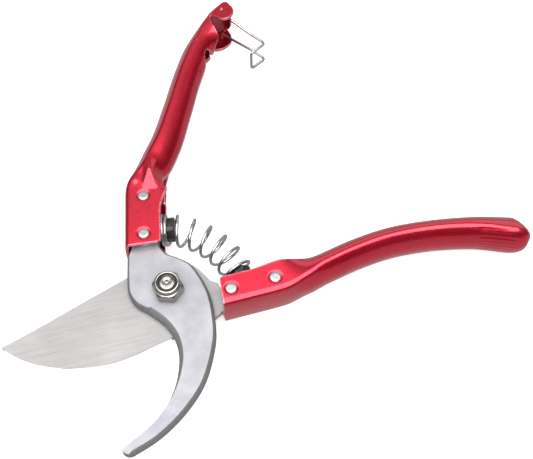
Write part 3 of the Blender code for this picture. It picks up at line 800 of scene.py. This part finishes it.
def hook_plate(finish):
    """Counter blade. Its front rim is drawn in more where it was ground, beside the jaw."""
    spacing = 0.7
    throat = smooth_path([(-16.2, 13.6), (-15.4, 4.0), (-14.4, -1.5), (-11.5, -5.6), (-7.6, -7.8)], spacing)
    jaw = smooth_path([(-7.0, -8.2), (-1.2, -12.6), (3.0, -18.2), (5.0, -26.4), (3.6, -36.9),
                       (-1.6, -46.8), (-11.6, -55.9)], spacing)
    tip = smooth_path([(-12.1, -56.7), (-11.7, -57.8), (-10.6, -58.5), (-9.4, -58.7)], 0.3)
    back = smooth_path([(-8.2, -58.3), (0.1, -52.7), (8.0, -44.4), (14.2, -34.0), (17.2, -21.3),
                        (17.1, -11.7), (14.4, -0.3), (8.2, 10.0), (2.4, 13.6), (-1.2, 14.9),
                        (-3.3, 17.0)], spacing)
    tang = tang_outline(LEFT, root_spine(LEFT_STATIONS))[::-1]
    outline = throat + jaw + tip + back + tang
    draw_in = [1.0] * len(throat)
    draw_in += [1.9 - 1.55 * smoothstep(0.25, 0.75, run) for run in np.linspace(0, 1, len(jaw))]
    draw_in += [0.4] * len(tip) + [1.15] * len(back) + [0.5] * len(tang)
    inward = loop_inward(outline)
    rows = ((HOOK_THICK, 1.0), (HOOK_THICK - 0.1, 0.93), (2.5, 0.12), (2.2, 0.0),
            (LEFT.plate_low + 0.25, 0.0), (LEFT.plate_low, 0.16))
    loops = []
    for height, share in rows:
        loop = np.array(outline) + inward * np.array(draw_in)[:, None] * share
        loops.append((height, loop))
    return plate("hook_blade", loops, finish, "hook_side", "ground_steel", "hook_plate",
                 plate_holes(LEFT), 30.0)


def cutting_blade(finish):
    """A flat plate towards the hook, hollow ground to its cutting edge from behind."""
    edge = smooth_path([(-58.1, -20.6), (-52.1, -24.1), (-45.8, -26.3), (-38.4, -27.6),
                        (-31.2, -27.9), (-15.9, -25.3), (1.7, -16.7)], 1.0)
    boss = smooth_path([(14.4, 5.6), (8.4, 11.4), (0.0, 14.2), (-8.5, 11.2), (-24.3, 1.3),
                        (-47.2, -13.8), (-57.6, -20.2)], 1.0)
    tang = tang_outline(RIGHT, root_spine(RIGHT_STATIONS))
    back = [(10.0, -13.0), (16.2, -9.6)] + tang + [(17.2, 4.6)] + boss
    spine_start = Vector((-58.1, -20.6))
    spine_slope = Vector((33.8, 21.9)).normalized()
    chord = (Vector(edge[-1]) - Vector(edge[0])).normalized()
    up = Vector((-chord.y, chord.x))
    outline = edge + back
    reach = []
    for index, point in enumerate(edge):
        run = (Vector(point) - spine_start).dot(spine_slope)
        drop = (spine_start + spine_slope * run - Vector(point)).length
        fade = min(1.0, (len(edge) - 1 - index) / 6)
        reach.append(min(8.0, 0.55 * drop) * fade)
    reach += [0.0] * len(back)
    rim = loop_inward(outline)
    is_back = np.array([0.0] * len(edge) + [1.0] * len(back))
    low = RIGHT.plate_low
    high = RIGHT.plate_high
    rows = [(high, 0.0, 0.22), (high - 0.22, 0.0, 0.0), (high - 0.3, 0.0, 0.0)]
    for step in range(1, 7):
        share = step / 6
        rows.append((high - 0.3 - (high - 0.3 - low) * share ** 0.8, share, 0.22 if step == 6 else 0.0))
    loops = []
    for height, ground, chamfer in rows:
        loop = np.array(outline) + np.array(reach)[:, None] * ground * np.array(up)
        loop = loop + rim * (is_back * chamfer)[:, None]
        loops.append((height, loop))
    return plate("curved_blade", loops, finish, "blade_side", "ground_steel", "cutting_blade",
                 plate_holes(RIGHT), 25.0)


# ---------------------------------------------------------------- pivot and rivets

def flats(reach, count):
    """A radius limit for a lathe that leaves count flat sides at the given reach."""
    def limit(angle):
        return reach / cos((angle + pi / count) % (2 * pi / count) - pi / count)
    return limit


def rows_below(top, rows):
    """Lathe rows from (radius, drop) pairs measured down from a height."""
    return [(radius, top - drop) for radius, drop in rows]


def pivot_bolt(finish):
    bottom = -SHEAR_PLANE
    head_top = bottom + HEAD_THICK
    end = NUT_TOP + 0.3
    top = rows_below(end, ((0, 0.05), (0.5, 0.02), (0.75, 0.12), (1.0, 0.02), (1.45, 0.0),
                           (1.65, 0.1), (1.85, 0.02), (2.3, 0.06), (2.5, 0.16)))
    top += arc((2.55, end - 0.62), 0.42, 80, 5, 5)
    shank = [(BOLT_RADIUS, end - 0.75), (BOLT_RADIUS, head_top + 0.2), (BOLT_RADIUS + 0.2, head_top)]
    head = [(HEX_CORNER - 0.25, head_top), (HEX_CORNER, head_top - 0.15)]
    for step in range(9):
        share = step / 8
        head.append((HEX_CORNER - 0.95 * share ** 1.2, bottom + 1.05 * (1 - share)))
    head += [(4.2, bottom), (0, bottom)]
    turned("pivot_screw", top + shank + head, 144, upright((0, 0), radians(HEX_TURN)), 24.0,
           finish, "hook_side", "nickel", "pivot_bolt", flats(HEX_FLATS / 2, 6))


def lock_nut(finish):
    """Hexagon with chamfered corners and a rolled collar round the plastic ring."""
    pocket = 3.55
    chamfer = 4.95
    rows = [(pocket, NUT_TOP - 1.2), (pocket, NUT_TOP - 0.3)]
    rows += arc((pocket + 0.35, NUT_TOP - 0.35), 0.35, 180, 90, 4)[1:]
    rows += arc((COLLAR_RADIUS - 0.7, NUT_TOP - 0.7), 0.7, 85, 5, 6)
    rows += [(COLLAR_RADIUS, NUT_TOP - 0.9), (COLLAR_RADIUS, NUT_SHOULDER + 0.35)]
    rows += [(COLLAR_RADIUS + 0.12, NUT_SHOULDER + 0.12), (COLLAR_RADIUS + 0.32, NUT_SHOULDER)]
    shares = [step / 8 for step in range(9)]
    depth = HEX_CORNER - chamfer
    rows += [(chamfer + depth * share ** 0.8, NUT_SHOULDER - 0.8 * share) for share in shares]
    rows += [(HEX_CORNER - depth * share ** 1.2, NUT_BASE + 0.55 * (1 - share)) for share in shares]
    rows += [(PIVOT_HOLE, NUT_BASE), (PIVOT_HOLE, NUT_TOP - 1.2)]
    turned("lock_nut", rows, 144, upright((0, 0), radians(HEX_TURN)), 24.0,
           finish, "hook_side", "nickel", "pivot_nut", flats(HEX_FLATS / 2, 6))


def ring(name, inner, outer, low, high, edge, finish, body, slot, node, centre=(0, 0)):
    """A washer or sleeve with small chamfers."""
    rows = [(inner, high), (outer - edge, high), (outer, high - edge), (outer, low + edge),
            (outer - edge, low), (inner, low)]
    turned(name, rows, 64, upright(centre), 30.0, finish, body, slot, node)


def rivets_and_sleeves(side, rivet_finish, sleeve_finish):
    """Domed rivets with a small set mark, and the sleeves that fill the channel round them."""
    wall = ROOT_HALF_DEPTH - SHEET - 0.3
    for place, rivet in zip(("inner", "outer"), side.rivets):
        centre = side.point(*rivet)
        top = ROOT_HALF_DEPTH + RIVET_DOME
        half = rows_below(top, ((0, 0.03), (0.4, 0.02), (0.8, 0.0), (1.2, 0.01), (1.65, 0.05),
                                (1.9, 0.12), (2.04, 0.24), (RIVET_HEAD, 0.4), (RIVET_HEAD, 0.75),
                                (RIVET_SHANK, 0.95)))
        rows = half + [(radius, -height) for radius, height in half[::-1]]
        node = f"{side.name}_rivet_{place}"
        turned(node + "_set", rows, 48, upright(centre), 50.0, rivet_finish, side.body, "nickel", node)
        spans = (("front", side.plate_high + 0.3, wall), ("back", -wall, side.plate_low - 0.3))
        for face, low, high in spans:
            node = f"{side.name}_spacer_{place}_{face}"
            ring(node + "_sleeve", RIVET_SHANK + 0.3, 3.4, low, high, 0.25, sleeve_finish,
                 side.body, "ground_steel", node, centre)


# ---------------------------------------------------------------- spring, plugs and catch

def seat_height(side):
    return SEAT_LEAN if side is LEFT else -SEAT_LEAN


def spring_plug(side, finish):
    """Moulded plug over the tang's spigot, with a rounded end and a shallow waist."""
    start = TANG_LIP + 0.3
    end = start + PLUG_LENGTH
    rows = [(0, start), (PLUG_RADIUS - 0.2, start), (PLUG_RADIUS, start + 0.2), (PLUG_RADIUS, start + 1.6),
            (PLUG_RADIUS - 0.12, start + 1.9), (PLUG_RADIUS - 0.12, end - 1.5), (PLUG_RADIUS, end - 1.2)]
    rows += arc((PLUG_RADIUS - 0.6, end - 0.6), 0.6, 0, 90, 6) + [(0, end)]

    def place(across, up, height):
        return world(side.point(SEAT_ALONG + across, height), seat_height(side) + up)

    part = turned(side.name + "_plug_moulding", rows, 64, place, 40.0, finish, side.body,
                  "black_plastic", side.name + "_spring_plug", flats(PLUG_FLATS, 8))
    reach = SPIGOT_WIDTH / 2 + 0.2
    low = side.plate_low - 0.2
    high = side.plate_high + 0.2
    corners = [(SEAT_ALONG - reach, start - 1), (SEAT_ALONG + reach, start - 1),
               (SEAT_ALONG + reach, TANG_LIP + SPIGOT_LENGTH + 0.2),
               (SEAT_ALONG - reach, TANG_LIP + SPIGOT_LENGTH + 0.2)]
    loop = [side.point(*corner) for corner in corners]
    points = [world(point, height) for height in (low, high) for point in loop]
    faces = grid_faces(2, 4, wrap=True) + [(0, 1, 2, 3), (4, 5, 6, 7)]
    carve(part, [placed("pocket", mesh_from("pocket", points, faces))])


def coil_spring(finish):
    """A bowed helix from seat to seat."""
    start = LEFT.point(SEAT_ALONG, SEAT_INWARD)
    end = RIGHT.point(SEAT_ALONG, SEAT_INWARD)
    axis = interpolate_bezier(
        Vector(world(start, seat_height(LEFT))),
        Vector(world(start + LEFT.inward * SPRING_BOW, seat_height(LEFT))),
        Vector(world(end + RIGHT.inward * SPRING_BOW, seat_height(RIGHT))),
        Vector(world(end, seat_height(RIGHT))), 240)
    runs = [0.0]
    for one, two in zip(axis, axis[1:]):
        runs.append(runs[-1] + (two - one).length / MM)
    free_pitch = (runs[-1] - 2 * END_TURNS * END_PITCH) / FREE_TURNS
    steps = 36
    path = []
    for step in range(int((FREE_TURNS + 2 * END_TURNS) * steps) + 1):
        turn = step / steps
        closed = min(turn, END_TURNS) + max(0.0, turn - END_TURNS - FREE_TURNS)
        run = closed * END_PITCH + min(max(turn - END_TURNS, 0.0), FREE_TURNS) * free_pitch
        segment = min(int(np.searchsorted(runs, run, side="right")) - 1, len(axis) - 2)
        share = (run - runs[segment]) / (runs[segment + 1] - runs[segment])
        centre = axis[segment].lerp(axis[segment + 1], share)
        ahead = (axis[segment + 1] - axis[segment]).normalized()
        sideways = ahead.cross(Vector((0, 0, 1))).normalized()
        angle = 2 * pi * (turn + COIL_START_TURN)
        path.append(centre + (sideways * cos(angle) - Vector((0, 0, 1)) * sin(angle)) * COIL_RADIUS * MM)
    part = piece("return_spring", tube("return_spring", path, SPRING_WIRE), finish, None,
                 "spring_wire", "coil_spring")
    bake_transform(part)


def rounded_corners(corners, radius, steps=8):
    """A polyline with each inner corner replaced by a short bend, as in bent wire."""
    path = [corners[0]]
    for before, corner, after in zip(corners, corners[1:], corners[2:]):
        back = (before - corner).normalized()
        ahead = (after - corner).normalized()
        half = back.angle(ahead) / 2
        reach = min(radius / tan(half), 0.45 * (before - corner).length, 0.45 * (after - corner).length)
        enter = corner + back * reach
        leave = corner + ahead * reach
        for step in range(steps + 1):
            t = step / steps
            path.append(enter * (1 - t) ** 2 + corner * 2 * t * (1 - t) + leave * t ** 2)
    path.append(corners[-1])
    return path


def wire_catch(finish):
    leg = Vector((cos(radians(CATCH_ANGLE)), sin(radians(CATCH_ANGLE))))
    toe_angle = radians(CATCH_ANGLE + CATCH_TOE_TURN)
    toe = Vector((cos(toe_angle), sin(toe_angle)))
    knee = CATCH_HOLE + leg * CATCH_KNEE
    corner = CATCH_HOLE + leg * CATCH_LEG
    end = corner + toe * CATCH_TOE
    root = GRIP_HALF_DEPTH - SHEET - CATCH_WIRE - 0.4
    front = [(CATCH_HOLE, GRIP_HALF_DEPTH + 0.25), (CATCH_HOLE, root), (knee, CATCH_HALF_WIDTH),
             (corner, CATCH_HALF_WIDTH), (end, CATCH_HALF_WIDTH)]
    back = [(point, -height) for point, height in front[:0:-1]]
    back.append((CATCH_HOLE, CATCH_WIRE * 0.4 - GRIP_HALF_DEPTH))
    corners = [Vector(world(point, height)) for point, height in front + back]
    path = rounded_corners(corners, CATCH_CORNER * MM)
    piece("catch_bail", tube("catch_bail", path, CATCH_WIRE, 16), finish, "catch",
          "spring_wire", "catch_wire")


# ---------------------------------------------------------------- materials

class Nodes:
    """Short calls for wiring a node tree."""

    def __init__(self, tree):
        self.tree = tree

    def node(self, kind, **settings):
        made = self.tree.nodes.new(kind)
        for name, value in settings.items():
            setattr(made, name, value)
        return made

    def wire(self, source, target):
        self.tree.links.new(source, target)

    def ramp(self, value, low, high, start=0.0, end=1.0):
        made = self.node("ShaderNodeMapRange")
        for name, number in (("From Min", low), ("From Max", high), ("To Min", start), ("To Max", end)):
            made.inputs[name].default_value = number
        self.wire(value, made.inputs["Value"])
        return made.outputs["Result"]


class Finish(Nodes):
    """A Principled material, with calls for the things a surface needs."""

    def __init__(self, name, colour, metallic, roughness, **sockets):
        self.material = bpy.data.materials.new(name)
        self.material.use_nodes = True
        super().__init__(self.material.node_tree)
        self.shader = self.tree.nodes["Principled BSDF"]
        self.shader.inputs["Base Color"].default_value = (*colour, 1.0)
        self.shader.inputs["Metallic"].default_value = metallic
        self.shader.inputs["Roughness"].default_value = roughness
        for socket, value in sockets.items():
            self.shader.inputs[socket.replace("_", " ")].default_value = value
        self.coordinates = self.node("ShaderNodeTexCoord").outputs["Object"]
        self.plain = self.stretched((1, 1, 1))

    def stretched(self, scale, turn=(0.0, 0.0, 0.0)):
        """Object coordinates in millimetres, turned and scaled."""
        rotated = self.node("ShaderNodeMapping")
        rotated.inputs["Rotation"].default_value = [radians(angle) for angle in turn]
        self.wire(self.coordinates, rotated.inputs["Vector"])
        scaled = self.node("ShaderNodeMapping")
        scaled.inputs["Scale"].default_value = [value / MM for value in scale]
        self.wire(rotated.outputs["Vector"], scaled.inputs["Vector"])
        return scaled.outputs["Vector"]

    def noise(self, scale, detail=2.0, rough=0.5, vector=None):
        """Even noise of so many features to the millimetre."""
        made = self.node("ShaderNodeTexNoise")
        made.inputs["Scale"].default_value = scale
        made.inputs["Detail"].default_value = detail
        made.inputs["Roughness"].default_value = rough
        self.wire(vector or self.plain, made.inputs["Vector"])
        return made.outputs["Fac"]

    def grain(self, scale, turn, detail, rough=0.5):
        """Noise drawn out along one direction, as grinding leaves it."""
        return self.noise(1.0, detail, rough, self.stretched(scale, turn))

    def painted(self, name):
        """A value stored on the mesh's points."""
        return self.node("ShaderNodeAttribute", attribute_name=name).outputs["Fac"]

    def mix(self, amount, one, two):
        """Mix two colours, each a socket or a plain colour."""
        made = self.node("ShaderNodeMix", data_type="RGBA")
        self.wire(amount, made.inputs["Factor"])
        for slot, value in (("A", one), ("B", two)):
            socket = [item for item in made.inputs if item.name == slot and item.type == "RGBA"][0]
            if isinstance(value, tuple):
                socket.default_value = (*value, 1.0)
            else:
                self.wire(value, socket)
        return [item for item in made.outputs if item.type == "RGBA"][0]

    def shade(self, value, low, high, one, two, most=1.0):
        """Go from one colour towards another as a value runs from low to high."""
        return self.mix(self.ramp(value, low, high, 0.0, most), one, two)

    def maths(self, operation, one, two):
        made = self.node("ShaderNodeMath", operation=operation)
        for socket, value in zip(made.inputs, (one, two)):
            if isinstance(value, (int, float)):
                socket.default_value = value
            else:
                self.wire(value, socket)
        return made.outputs["Value"]

    def colour(self, socket):
        self.wire(socket, self.shader.inputs["Base Color"])

    def roughness(self, value, low, high):
        """Roughness from low to high over the middle of a noise."""
        self.wire(self.ramp(value, 0.3, 0.7, low, high), self.shader.inputs["Roughness"])

    def bump(self, *layers):
        """Stack bumps, each a (height socket, strength, distance in millimetres)."""
        below = None
        for height, strength, distance in layers:
            made = self.node("ShaderNodeBump")
            made.inputs["Strength"].default_value = strength
            made.inputs["Distance"].default_value = distance * MM
            self.wire(height, made.inputs["Height"])
            if below:
                self.wire(below, made.inputs["Normal"])
            below = made.outputs["Normal"]
        self.wire(below, self.shader.inputs["Normal"])


def red_enamel():
    """Glossy metallic red under a clear coat, thin and pale along cut edges."""
    made = Finish("red_enamel", (0.60, 0.002, 0.018), 0.8, 0.27, Coat_Weight=1.0, Coat_Roughness=0.04)
    cloud = made.noise(0.09, 3.0)
    fleck = made.noise(9.0, 1.0)
    body = made.shade(cloud, 0.3, 0.7, (0.61, 0.008, 0.031), (0.70, 0.011, 0.042))
    body = made.shade(fleck, 0.45, 0.75, body, (0.85, 0.02, 0.06), 0.2)
    edge = made.painted("rim")
    worn = made.maths("MULTIPLY", edge, made.ramp(made.noise(0.8, 3.0), 0.3, 0.6, 0.25, 0.75))
    body = made.mix(worn, body, (0.93, 0.34, 0.40))
    # Painted shade: the inner skin's paint is darkened nearly to black, standing in for the shade inside
    # the channel.
    inner_shade = made.painted("inner_shade")
    made.colour(made.mix(made.maths("MULTIPLY", inner_shade, 0.45), body, (0.045, 0.001, 0.004)))
    made.roughness(made.noise(0.5, 4.0), 0.24, 0.32)
    made.bump((made.noise(0.45, 2.0), 0.05, 0.1), (fleck, 0.01, 0.02))
    return made.material


def hook_steel():
    """Satin ground steel with short cross strokes, clouding, and a mauve tint near the tip."""
    made = Finish("hook_steel", (0.55, 0.55, 0.57), 0.55, 0.5)
    strokes = made.grain((0.12, 3.2, 1.0), (0, 0, 12), 4.0, 0.6)
    cloud = made.noise(0.11, 4.0, 0.55)
    pits = made.noise(1.3, 4.0, 0.7)
    colour = made.shade(cloud, 0.35, 0.65, (0.34, 0.336, 0.366), (0.43, 0.427, 0.45))
    colour = made.shade(strokes, 0.45, 0.8, colour, (0.36, 0.35, 0.37), 0.3)
    near_tip = made.node("ShaderNodeVectorMath", operation="DISTANCE")
    made.wire(made.coordinates, near_tip.inputs[0])
    near_tip.inputs[1].default_value = (1.0 * MM, -45.5 * MM, 13.0 * MM)
    halo = made.ramp(near_tip.outputs["Value"], 7.5 * MM, 1.5 * MM)
    tint = made.maths("MULTIPLY", halo, made.ramp(made.noise(0.55, 5.0, 0.7), 0.42, 0.62, 0.0, 0.75))
    colour = made.mix(tint, colour, (0.30, 0.26, 0.38))
    colour = made.shade(pits, 0.62, 0.72, colour, (0.24, 0.23, 0.25), 0.4)
    scratches = made.grain((0.22, 6.5, 1.0), (0, 0, -62), 2.0, 0.7)
    colour = made.shade(scratches, 0.60, 0.70, colour, (0.27, 0.26, 0.29), 0.5)
    # Painted shade: the side walls are darkened nearly to black for the shade on the plate's edges; the
    # hatch on them is grinding.
    wall = made.painted("wall")
    hatch = made.grain((0.5, 9.0, 1.0), (0, 0, 40), 2.0)
    ground = made.shade(hatch, 0.35, 0.65, (0.13, 0.13, 0.13), (0.24, 0.24, 0.235))
    made.colour(made.shade(wall, 0.0, 1.0, colour, ground, 0.9))
    made.roughness(strokes, 0.46, 0.58)
    made.bump((strokes, 0.12, 0.03), (pits, 0.06, 0.02))
    return made.material


def blade_steel():
    """Warm satin steel with long fine grinding lines that run up the blade."""
    made = Finish("blade_steel", (0.50, 0.49, 0.485), 0.6, 0.5)
    lines = made.grain((0.05, 1.9, 0.4), (0, 0, -13), 5.0, 0.65)
    fine = made.grain((0.10, 6.5, 0.6), (0, 0, -15), 3.0, 0.6)
    cloud = made.noise(0.08, 3.0)
    warm = made.shade(cloud, 0.35, 0.65, (0.335, 0.318, 0.318), (0.385, 0.371, 0.371))
    colour = made.shade(lines, 0.42, 0.66, warm, (0.26, 0.24, 0.235), 0.5)
    made.colour(made.shade(fine, 0.48, 0.68, colour, (0.50, 0.485, 0.48), 0.45))
    made.roughness(fine, 0.44, 0.56)
    made.bump((lines, 0.08, 0.04), (fine, 0.10, 0.02))
    return made.material


def nickel_plate(name, worn, bright):
    """Scuffed nickel between two tones, with painted shade on the sides that don't face up."""
    made = Finish(name, bright, 1.0, 0.2)
    scuffs = made.grain((0.6, 4.0, 1.0), (10, 20, 35), 4.0, 0.65)
    cloud = made.noise(0.4, 3.0)
    colour = made.shade(cloud, 0.3, 0.7, worn, bright)
    colour = made.shade(scuffs, 0.5, 0.8, colour, (0.24, 0.22, 0.20), 0.5)
    # Painted shade: sides that don't face up are darkened towards brown-black.
    facing = made.node("ShaderNodeSeparateXYZ")
    made.wire(made.node("ShaderNodeTexCoord").outputs["Normal"], facing.inputs["Vector"])
    side_shade = made.ramp(facing.outputs["Z"], 0.12, 0.45, 0.62, 0.0)
    made.colour(made.mix(side_shade, colour, (0.14, 0.125, 0.115)))
    made.roughness(scuffs, 0.14, 0.30)
    made.bump((scuffs, 0.10, 0.03))
    return made.material


def rivet_metal():
    """Tumbled bright rivets: soft sheen and small dents."""
    made = Finish("rivet_metal", (0.90, 0.89, 0.88), 0.9, 0.32)
    dents = made.noise(1.1, 3.0)
    made.colour(made.shade(dents, 0.35, 0.7, (0.50, 0.495, 0.49), (0.36, 0.355, 0.35)))
    made.roughness(dents, 0.26, 0.42)
    made.bump((dents, 0.12, 0.08))
    return made.material


def black_moulding():
    """Black plastic with a fine grain."""
    made = Finish("black_moulding", (0.022, 0.020, 0.020), 0.0, 0.42)
    grain = made.noise(3.0, 3.0)
    cloud = made.noise(0.4, 2.0)
    made.colour(made.shade(cloud, 0.35, 0.65, (0.009, 0.008, 0.008), (0.028, 0.026, 0.025)))
    made.roughness(grain, 0.20, 0.32)
    made.bump((grain, 0.12, 0.04))
    return made.material


def bright_wire(name):
    """Plated drawn wire with faint rubbed patches."""
    made = Finish(name, (0.80, 0.79, 0.78), 1.0, 0.2)
    patches = made.noise(0.7, 4.0, 0.6)
    fine = made.noise(6.0, 2.0)
    made.colour(made.shade(patches, 0.4, 0.7, (0.66, 0.65, 0.64), (0.48, 0.465, 0.455)))
    made.roughness(patches, 0.22, 0.36)
    made.bump((fine, 0.06, 0.02))
    return made.material


def dull_steel():
    """Plain steel for the sleeves, which hardly show."""
    made = Finish("dull_steel", (0.55, 0.55, 0.56), 0.9, 0.45)
    grain = made.grain((1, 1, 4), (0, 0, 0), 4.0)
    made.colour(made.shade(grain, 0.35, 0.65, (0.48, 0.47, 0.47), (0.62, 0.62, 0.63)))
    made.roughness(made.noise(1.5, 3.0), 0.36, 0.52)
    made.bump((grain, 0.08, 0.03))
    return made.material


def pale_floor():
    """White acrylic, lit a little from below so that shadows stay faint."""
    made = Finish("pale_floor", (0.80, 0.80, 0.80), 0.0, 0.9, Emission_Strength=0.55)
    made.shader.inputs["Emission Color"].default_value = (1.0, 1.0, 1.0, 1.0)
    cloud = made.noise(0.02, 2.0)
    made.colour(made.shade(cloud, 0.3, 0.7, (0.79, 0.79, 0.79), (0.81, 0.81, 0.81)))
    return made.material


# ---------------------------------------------------------------- studio

def softbox(name, place, target, size, radiance):
    """A flat rectangular light of the given radiance, aimed at a point. Lengths are in metres."""
    lamp = bpy.data.lights.new(name, "AREA")
    lamp.shape = "RECTANGLE"
    lamp.size, lamp.size_y = size
    lamp.energy = radiance * pi * size[0] * size[1]
    made = placed(name, lamp)
    made.location = place
    aim = Vector(target) - Vector(place)
    made.rotation_euler = aim.to_track_quat("-Z", "Y").to_euler()
    made.visible_camera = False


def world_light():
    """A sky that is dark at the horizon, brighter above, and a little stronger on the left."""
    sky = bpy.data.worlds.new("studio")
    bpy.context.scene.world = sky
    sky.use_nodes = True
    made = Nodes(sky.node_tree)
    backing = made.tree.nodes["Background"]
    tones = made.node("ShaderNodeValToRGB")
    stops = ((0.0, 0.45), (0.47, 0.4), (0.5, 0.03), (0.66, 0.03), (0.84, 0.3), (0.92, 0.6))
    elements = tones.color_ramp.elements
    while len(elements) < len(stops):
        elements.new(0.5)
    for element, (place, tone) in zip(elements, stops):
        element.position = place
        element.color = (tone, tone, tone, 1.0)
    split = made.node("ShaderNodeSeparateXYZ")
    made.wire(made.node("ShaderNodeTexCoord").outputs["Generated"], split.inputs["Vector"])
    made.wire(made.ramp(split.outputs["Z"], -1.0, 1.0), tones.inputs["Fac"])
    made.wire(tones.outputs["Color"], backing.inputs["Color"])
    made.wire(made.ramp(split.outputs["X"], -0.3, -0.9, 1.0, 1.3), backing.inputs["Strength"])


def studio():
    """A pale floor, two softboxes and the sky."""
    floor = bpy.data.meshes.new("floor")
    signs = ((-1, -1), (1, -1), (1, 1), (-1, 1))
    corners = [(x * FLOOR_REACH, y * FLOOR_REACH, FLOOR_HEIGHT) for x, y in signs]
    floor.from_pydata(corners, [], [(0, 1, 2, 3)])
    ground = placed("floor", floor)
    floor.materials.append(pale_floor())
    ground.visible_glossy = False

    softbox("overhead", (0.0, -0.22, 0.60), (0.0, -0.22, 0.0), (0.90, 0.94), 3.3)
    softbox("back_panel", (0.25, 0.95, 0.31), (0.05, 0.05, 0.05), (1.7, 0.56), 0.8)

    world_light()
    bpy.context.scene.view_settings.view_transform = "Standard"


def camera():
    lens = bpy.data.cameras.new("camera")
    lens.sensor_width = 36.0
    lens.lens = LENS
    lens.clip_start = 0.001
    made = placed("camera", lens)
    made.location = CAMERA_PLACE
    made.rotation_euler = (radians(CAMERA_TILT), 0.0, 0.0)
    bpy.context.scene.camera = made


# ---------------------------------------------------------------- scene

def main():
    red = red_enamel()
    nickel = nickel_plate("nickel_plate", (0.40, 0.375, 0.35), (0.54, 0.515, 0.49))
    bolt_end = nickel_plate("bolt_nickel", (0.24, 0.225, 0.21), (0.36, 0.34, 0.32))
    rivet = rivet_metal()
    black = black_moulding()
    steel = dull_steel()

    hook_plate(hook_steel())
    cutting_blade(blade_steel())
    pivot_bolt(bolt_end)
    lock_nut(nickel)
    bottom = -SHEAR_PLANE + HEAD_THICK
    ring("bolt_washer", PIVOT_HOLE, WASHER_RADIUS, bottom + 0.15, -BLADE_THICK - 0.15, 0.2,
         nickel, "hook_side", "nickel", "head_washer")
    ring("locking_ring", PIVOT_HOLE, 3.5, NUT_TOP - 1.0, NUT_TOP - 0.2, 0.1, black,
         "hook_side", "black_plastic", "nut_insert")

    ear = [(CATCH_HOLE, CATCH_WIRE + 0.28)]
    handle(LEFT, LEFT_STATIONS, LEFT_NOSE, (LEFT_FRONT_LIP, LEFT_BACK_LIP), LEFT_LIP_HEIGHTS,
           LEFT_DETAIL, left_press, red, ear)
    handle(RIGHT, RIGHT_STATIONS, RIGHT_NOSE, (RIGHT_LIP, RIGHT_LIP), RIGHT_LIP_HEIGHTS,
           RIGHT_DETAIL, right_press, red)
    for side in (LEFT, RIGHT):
        rivets_and_sleeves(side, rivet, steel)
        spring_plug(side, black)
    coil_spring(bright_wire("spring_wire"))
    wire_catch(bright_wire("catch_wire"))
    studio()
    camera()


main()
